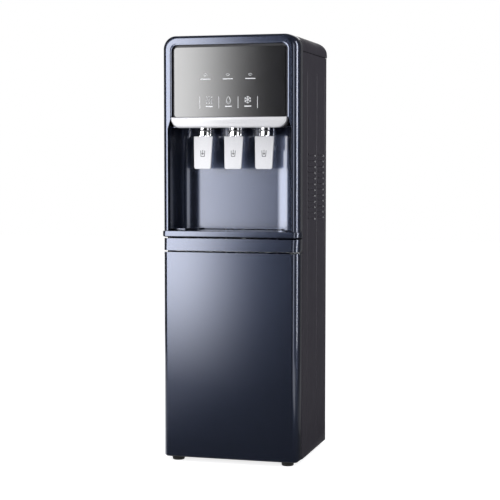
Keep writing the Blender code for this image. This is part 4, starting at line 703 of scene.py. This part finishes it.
for tap in ("hot", "ambient", "cold"):
    dress(f"{tap}_tap_body", chrome, TAP_EDGE)
    dress(f"{tap}_tap_pin", bare_steel)
    dress(f"{tap}_tap_lever", dark_plastic, LEVER_EDGE)
    dress(f"{tap}_press_plate", white_gloss, TAP_EDGE)
    low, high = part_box(f"{tap}_press_plate")
    x, z = (low.x + high.x) / 2, (low.z + high.z) / 2 - CUP_DOWN
    lean = PLATE_LEAN / (high.z - low.z)
    bm = bmesh.new()
    add_stroke(bm, [(x + dx, z + dz) for dx, dz in CUP], CUP_WIDE, 0.0)
    add_stroke(bm, [(x, z + dz) for dz in SHAFT], CUP_WIDE, 0.0)
    for side in (-1, 1):
        add_stroke(bm, [(x + side * dx, z + dz) for dx, dz in BARB], BARB_WIDE, 0.0)
    for vert in bm.verts:
        vert.co.y += low.y + PLATE_LEAN - MARK_THICK - lean * (high.z - vert.co.z)
    new_piece(f"{tap}_cup_sign", bm, print_dark, f"{tap}_tap")


# Casing: the sides and the back are pressed steel, powder coated in dark grey with a fine
# grain. The top cover is a moulding in the same colour.
charcoal = finish("charcoal_coat", (0.022, 0.020, 0.027), (0.033, 0.030, 0.040), (0.40, 0.48),
                  grain=2200.0, relief=0.00003, gloss=0.2)
for name in ("side_panel_left", "side_panel_right", "back_panel"):
    dress(name, charcoal)
dress("top_cover", charcoal, MOULDED_EDGE)


# Louvre ends: where the press has drawn each louvre out, its rear end is a small slope that faces
# forwards, on both side panels. These slopes are painted a much lighter grey as a painted
# highlight.
LOUVRE_ROWS = 12
LOUVRE_PITCH = 0.0137
LOUVRE_FOOT = 0.0266
LOUVRE_PROUD = 0.0016
LOUVRE_REARS = (0.0200, 0.1090)
END_LONG = 0.0032
END_TALL = 0.0048
END_DROP = 0.0042
# Much lighter than the charcoal coat: a painted highlight on each louvre end, not wear.
glint_paint = finish("painted_glint_coat", (0.10, 0.10, 0.11), (0.16, 0.16, 0.17), (0.30, 0.36))
tray_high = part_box("drip_tray")[1]
band_low, band_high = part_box("fascia_band")
for side, label, face_x in ((-1, "left", band_low.x), (1, "right", band_high.x)):
    bm = bmesh.new()
    for rear in LOUVRE_REARS:
        for row in range(LOUVRE_ROWS):
            low = tray_high.z + LOUVRE_FOOT - END_DROP + row * LOUVRE_PITCH
            y = rear - END_LONG / 2
            for vert in block(bm, (face_x, y, low + END_TALL / 2),
                              (2 * LOUVRE_PROUD, END_LONG, END_TALL)):
                if (vert.co.x - face_x) * side < 0:
                    vert.co.x = face_x - side * LOUVRE_PROUD
                elif vert.co.y < y:
                    vert.co.x = face_x
    new_piece(f"louvre_ends_{label}", bm, glint_paint, "cabinet", smooth=20)


# Louvre screens: a thin near-black sheet with a felt-like grain inside each side panel behind its
# louvres. It is painted shade that keeps the view through the louvres dark.
SCREEN_FRONT_Y, SCREEN_REAR_Y = -0.028, 0.122
SCREEN_LOW_Z, SCREEN_HIGH_Z = 0.553, 0.742
SCREEN_THICK = 0.0012
SCREEN_INSIDE = 0.0062
SCREEN_CORNER = 0.008
SCREEN_EDGE = 0.0002
# Near-black: painted shade behind the louvres.
shade_sheet_finish = finish("painted_shade_sheet", (0.006, 0.006, 0.007), (0.014, 0.014, 0.015), (0.90, 0.98),
              grain=1400.0, relief=0.0001)
for side, label in ((-1, "left"), (1, "right")):
    bm = bmesh.new()
    block(bm, (side * (frame_high.x - SCREEN_INSIDE), (SCREEN_FRONT_Y + SCREEN_REAR_Y) / 2,
               (SCREEN_LOW_Z + SCREEN_HIGH_Z) / 2),
          (SCREEN_THICK, SCREEN_REAR_Y - SCREEN_FRONT_Y, SCREEN_HIGH_Z - SCREEN_LOW_Z))
    corners = [edge for edge in bm.edges
               if abs(edge.verts[0].co.x - edge.verts[1].co.x) > SCREEN_THICK / 2]
    round_off(bm, corners, "EDGES", SCREEN_CORNER, 5)
    round_off(bm, bm.edges[:], "EDGES", SCREEN_EDGE, 1)
    new_piece(f"louvre_screen_{label}", bm, shade_sheet_finish, "cabinet")


# Alcove liner: one moulding with a back wall that turns into the side walls on wide round
# corners, a ceiling with a hole for each tap, and a flange round the tray.
LINER_HALF = 0.1465
LINER_WALL = 0.0020
LINER_TURNS = (0.034, 0.045)
LINER_TURN_STEPS = 14
LINER_STRETCH = 1.31
CEILING_LIFT = 0.0062
CEILING_FRONT_Y = -0.1285
FLANGE_FRONT_Y = -0.1130
GRILLE_RIM = 0.0020
TRAY_ROOM = 0.0012
TRAY_TURNS = (0.0290, 0.0290)
NECK_ROOM = 0.0199
NECK_FORWARD = 0.048
NECK_HOLE_DEEP, NECK_HOLE_SIDES = 0.02, 48
LEVEL = 0.9
CLOSE = 0.0001


def plan_outline(bm, half, front_y, back_y, z, turns):
    """A horizontal outline with round rear corners, left and right, as one face."""
    middle = Matrix.Translation((0.0, (front_y + back_y) / 2, z))
    size = Matrix.Diagonal((2 * half, back_y - front_y, 1.0, 1.0))
    others = set(bm.faces)
    made = bmesh.ops.create_grid(bm, x_segments=1, y_segments=1, size=0.5,
                                 matrix=middle @ size)["verts"]
    rear = sorted((vert for vert in made if vert.co.y > back_y - NEAR),
                  key=lambda vert: vert.co.x)
    for vert, turn in zip(rear, turns):
        round_off(bm, [vert], "VERTICES", turn, LINER_TURN_STEPS)
    return next(face for face in bm.faces if face not in others)


def upright_rod(bm, place, radius, depth, sides):
    """Adds a round upright rod with closed ends."""
    bmesh.ops.create_cone(bm, cap_ends=True, segments=sides, radius1=radius, radius2=radius,
                          depth=depth, matrix=Matrix.Translation(place))


liner_low, liner_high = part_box("alcove_liner")
wall_y = liner_high.y - LINER_WALL
ceiling_z = liner_high.z + CEILING_LIFT
bm = bmesh.new()
plan_outline(bm, LINER_HALF / LINER_STRETCH, liner_low.y, wall_y, ceiling_z - LINER_WALL,
             LINER_TURNS)
bmesh.ops.scale(bm, vec=(LINER_STRETCH, 1.0, 1.0), verts=bm.verts)
rim = [edge for edge in bm.edges if any(vert.co.y > liner_low.y + NEAR for vert in edge.verts)]
hem = verts_of(bmesh.ops.extrude_edge_only(bm, edges=rim)["geom"])
bmesh.ops.translate(bm, verts=hem, vec=(0.0, 0.0, liner_low.z + 2 * LINER_WALL - ceiling_z))
hem_z = hem[0].co.z
for y in (FLANGE_FRONT_Y, CEILING_FRONT_Y):
    bmesh.ops.bisect_plane(bm, geom=bm.verts[:] + bm.edges[:] + bm.faces[:],
                           plane_co=(0.0, y, 0.0), plane_no=(0.0, 1.0, 0.0))
bmesh.ops.delete(bm, geom=[face for face in bm.faces if abs(face.normal.z) > LEVEL
                           and face.calc_center_median().y < CEILING_FRONT_Y],
                 context="FACES_ONLY")
outer = [edge for edge in open_edges(bm)
         if all(abs(vert.co.z - hem_z) < CLOSE and vert.co.y > FLANGE_FRONT_Y - CLOSE
                for vert in edge.verts)]
inner_face = plan_outline(bm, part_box("drip_grille")[1].x + GRILLE_RIM + TRAY_ROOM, FLANGE_FRONT_Y,
                          tray_high.y + TRAY_ROOM, hem_z, TRAY_TURNS)
inner = [edge for edge in inner_face.edges
         if any(vert.co.y > FLANGE_FRONT_Y + NEAR for vert in edge.verts)]
front = [edge for edge in inner_face.edges if edge not in inner]
bmesh.ops.delete(bm, geom=[inner_face], context="FACES_ONLY")
bmesh.ops.delete(bm, geom=front, context="EDGES")
bmesh.ops.bridge_loops(bm, edges=outer + inner)
bmesh.ops.recalc_face_normals(bm, faces=bm.faces)
bmesh.ops.solidify(bm, geom=bm.faces[:], thickness=-LINER_WALL)
liner = new_piece("alcove_lining", bm, navy, "cabinet", smooth=40)
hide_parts("alcove_liner")
holes = bmesh.new()
for tap in ("hot", "ambient", "cold"):
    tap_low, tap_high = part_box(f"{tap}_tap_body")
    upright_rod(holes, ((tap_low.x + tap_high.x) / 2, wall_y - NECK_FORWARD, ceiling_z), NECK_ROOM,
                NECK_HOLE_DEEP, NECK_HOLE_SIDES)
cut_away(liner, holes)


# Condenser on the back: a steel tube bent to and fro, with fine upright wires welded on both
# sides of it, and four lugs that hold it off the panel. It is enamelled black.
RUNS = 12
RUN_RADIUS = 0.0024
RUN_BACK = 0.001
TURN_STEPS = 8
TUBE_IN = 0.002
WIRE_RADIUS = 0.0007
WIRES = 30
WIRE_END = 0.010
WIRE_SIDES = 6
WIRE_ON_TUBE = 0.6
LUG_AT = 0.8
LUG_WIDE, LUG_SUNK, LUG_TALL = 0.010, 0.004, 0.012
LUG_EDGE = 0.0012
enamel = finish("black_enamel", (0.012, 0.012, 0.013), (0.022, 0.022, 0.024), (0.25, 0.38),
                relief=0.00003)
cond_low, cond_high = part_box("condenser")
lane_y = (cond_low.y + cond_high.y) / 2 + RUN_BACK
half = cond_high.x - TUBE_IN
low_z, high_z = cond_low.z + WIRE_END, cond_high.z - WIRE_END
turn = (high_z - low_z) / (RUNS - 1) / 2
points = []
for run in range(RUNS):
    side = 1 if run % 2 == 0 else -1
    z = low_z + 2 * turn * run
    points += [(-side * (half - turn), z), (side * (half - turn), z)]
    if run < RUNS - 1:
        points += [(side * (half - turn + turn * cos(a)), z + turn + turn * sin(a))
                   for a in [-pi / 2 + pi * step / TURN_STEPS for step in range(1, TURN_STEPS)]]
route = bpy.data.curves.new("condenser_route", "CURVE")
route.dimensions = "3D"
route.bevel_depth = RUN_RADIUS
route.bevel_resolution = 3
spline = route.splines.new("POLY")
spline.points.add(len(points) - 1)
for point, (x, z) in zip(spline.points, points):
    point.co = (x, lane_y, z, 1.0)
guide = bpy.data.objects.new("condenser_route", route)
scene.collection.objects.link(guide)
bm = bmesh.new()
bm.from_mesh(mesh_of(guide))
bpy.data.objects.remove(guide, do_unlink=True)
bmesh.ops.holes_fill(bm, edges=open_edges(bm))
for i in range(WIRES):
    x = (half - 2 * turn) * (2 * i / (WIRES - 1) - 1)
    y = lane_y + (RUN_RADIUS + WIRE_RADIUS * WIRE_ON_TUBE) * (1 if i % 2 else -1)
    upright_rod(bm, (x, y, (low_z + high_z) / 2), WIRE_RADIUS, high_z - low_z + 2 * WIRE_END,
                WIRE_SIDES)
for side in (-1, 1):
    for z in (low_z + 2 * turn, high_z - 2 * turn):
        lug = block(bm, (side * half * LUG_AT, (lane_y + cond_low.y) / 2, z),
                    (LUG_WIDE, lane_y - cond_low.y + LUG_SUNK, LUG_TALL))
        round_off(bm, list({edge for vert in lug for edge in vert.link_edges}), "EDGES",
                  LUG_EDGE, 2)
condenser = new_piece("condenser_grid", bm, enamel, "cabinet", smooth=50)
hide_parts("condenser")


# Back panel's screws: ten pan-head screws in bare steel, five down each side of the panel,
# each with a cross on its head.
SCREW_IN = 0.010
SCREW_SHARES = (0.02, 0.27, 0.5, 0.73, 0.98)
SCREW_RADIUS = 0.0042
SCREW_TAPER = 0.72
SCREW_PROUD = 0.0018
CROSS_BAR = (0.0044, 0.0006, 0.0009)
CROSS_TURN = 0.4
panel_low, panel_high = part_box("back_panel")
turn_back = Matrix.Rotation(-pi / 2, 4, "X")
bm = bmesh.new()
for x in (panel_low.x + SCREW_IN, panel_high.x - SCREW_IN):
    for share in SCREW_SHARES:
        z = panel_low.z + (panel_high.z - panel_low.z) * share
        place = Matrix.Translation((x, panel_high.y + SCREW_PROUD / 2, z)) @ turn_back
        bmesh.ops.create_cone(bm, cap_ends=True, segments=20, radius1=SCREW_RADIUS,
                              radius2=SCREW_RADIUS * SCREW_TAPER, depth=SCREW_PROUD, matrix=place)
        for angle in (0.0, pi / 2):
            block(bm, (x, panel_high.y + SCREW_PROUD, z), CROSS_BAR,
                  Matrix.Rotation(angle + CROSS_TURN, 4, "Y"))
new_piece("panel_screws", bm, bare_steel, "cabinet", smooth=30)


# Shade strip: a thin black lip under the fascia band, a dark sheet that stands for the shade in the
# gap over the door and closes the view into it. It is stuck to the band's underside, and the door
# swings clear below it.
STRIP_TALL = 0.0016
STRIP_IN = 0.0006
STRIP_EDGE = 0.0003
STRIP_FRONT_Y, STRIP_REAR_Y = -0.1230, -0.1070
bm = bmesh.new()
block(bm, (0.0, (STRIP_FRONT_Y + STRIP_REAR_Y) / 2, band_low.z - STRIP_TALL / 2),
      (band_high.x - band_low.x - 2 * STRIP_IN, STRIP_REAR_Y - STRIP_FRONT_Y, STRIP_TALL))
round_off(bm, bm.edges[:], "EDGES", STRIP_EDGE, 2)
new_piece("shade_strip", bm, dark_plastic, "cabinet")


# Drip grille: a thin moulded plate with a fine pattern of round drain holes. It lies in a
# recess of the tray and lifts off.
GRILLE_CORNER = 0.0272
GRILLE_CORNER_STEPS = 8
HOLE_PITCH = 0.0062
HOLE_RADIUS = 0.0021
HOLE_MARGIN = 0.0050
HOLE_DEEP, HOLE_SIDES = 0.01, 8
grille_low, grille_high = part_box("drip_grille")
middle = (grille_low + grille_high) / 2
bm = bmesh.new()
block(bm, middle, grille_high - grille_low)
corners = [edge for edge in bm.edges
           if all(vert.co.y > middle.y for vert in edge.verts)
           and abs(edge.verts[0].co.x - edge.verts[1].co.x) < HOLE_RADIUS
           and abs(edge.verts[0].co.z - edge.verts[1].co.z) > NEAR]
round_off(bm, corners, "EDGES", GRILLE_CORNER, GRILLE_CORNER_STEPS)
grille = new_piece("drip_grille_plate", bm, navy, "grille", smooth=40)
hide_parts("drip_grille")
holes = bmesh.new()
reach = grille_high.x - HOLE_MARGIN
columns = int(reach / HOLE_PITCH)
rows = int((grille_high.y - grille_low.y - 2 * HOLE_MARGIN) / HOLE_PITCH)
corner_x, corner_y = grille_high.x - GRILLE_CORNER, grille_high.y - GRILLE_CORNER
for row in range(rows + 1):
    y = grille_low.y + HOLE_MARGIN + HOLE_PITCH * row
    for column in range(-columns, columns + 1):
        x = HOLE_PITCH * (column + (row % 2) / 2)
        past = Vector((max(abs(x) - corner_x, 0.0), max(y - corner_y, 0.0)))
        if abs(x) < reach and past.length < GRILLE_CORNER - HOLE_MARGIN:
            upright_rod(holes, (x, y, middle.z), HOLE_RADIUS, HOLE_DEEP, HOLE_SIDES)
cut_away(grille, holes)


# Other carried-over pieces: the moulded liners and water tubes, rubber parts, enamelled and
# bare steel, copper tubes, small dark mouldings, and the cold tank's foam jacket.
SMALL_EDGE = 0.0004
liner_plastic = finish("grey_liner", (0.50, 0.51, 0.53), (0.58, 0.59, 0.61), (0.45, 0.55),
                       grain=1500.0, relief=0.00002)
rubber = finish("black_rubber", (0.010, 0.010, 0.010), (0.020, 0.020, 0.020), (0.65, 0.80),
                grain=1400.0, relief=0.00004, gloss=0.3)
copper = finish("drawn_copper", (0.55, 0.25, 0.14), (0.70, 0.36, 0.22), (0.22, 0.40), metal=1.0,
                grain=180.0)
foam = finish("foam_jacket", (0.60, 0.56, 0.46), (0.76, 0.72, 0.62), (0.85, 0.95), grain=500.0,
              relief=0.00040, gloss=0.1)
for group, material, edge in (
    ("door_inner_panel cabinet_liner bottle_collar", liner_plastic, 0.0),
    ("hot_water_tube ambient_water_tube cold_water_tube", liner_plastic, 0.0),
    ("door_gasket foot_front_left foot_front_right", rubber, 0.0),
    ("foot_rear_left foot_rear_right drain_plug", rubber, 0.0),
    ("heating_rocker cooling_rocker", rubber, SMALL_EDGE),
    ("base_plate compressor", enamel, 0.0),
    ("discharge_tube suction_tube filter_drier", copper, 0.0),
    ("magnet_catch switch_housing power_inlet", dark_plastic, SMALL_EDGE),
    ("door_strike door_hinge_lower door_hinge_upper tank_shelf", bare_steel, 0.0),
    ("cold_tank tank_stand hot_tank compressor_mount", bare_steel, 0.0),
    ("bottle_spike storage_shelf", white_gloss, 0.0),
    ("cold_tank_foam", foam, 0.0),
):
    for name in group.split():
        dress(name, material, edge)
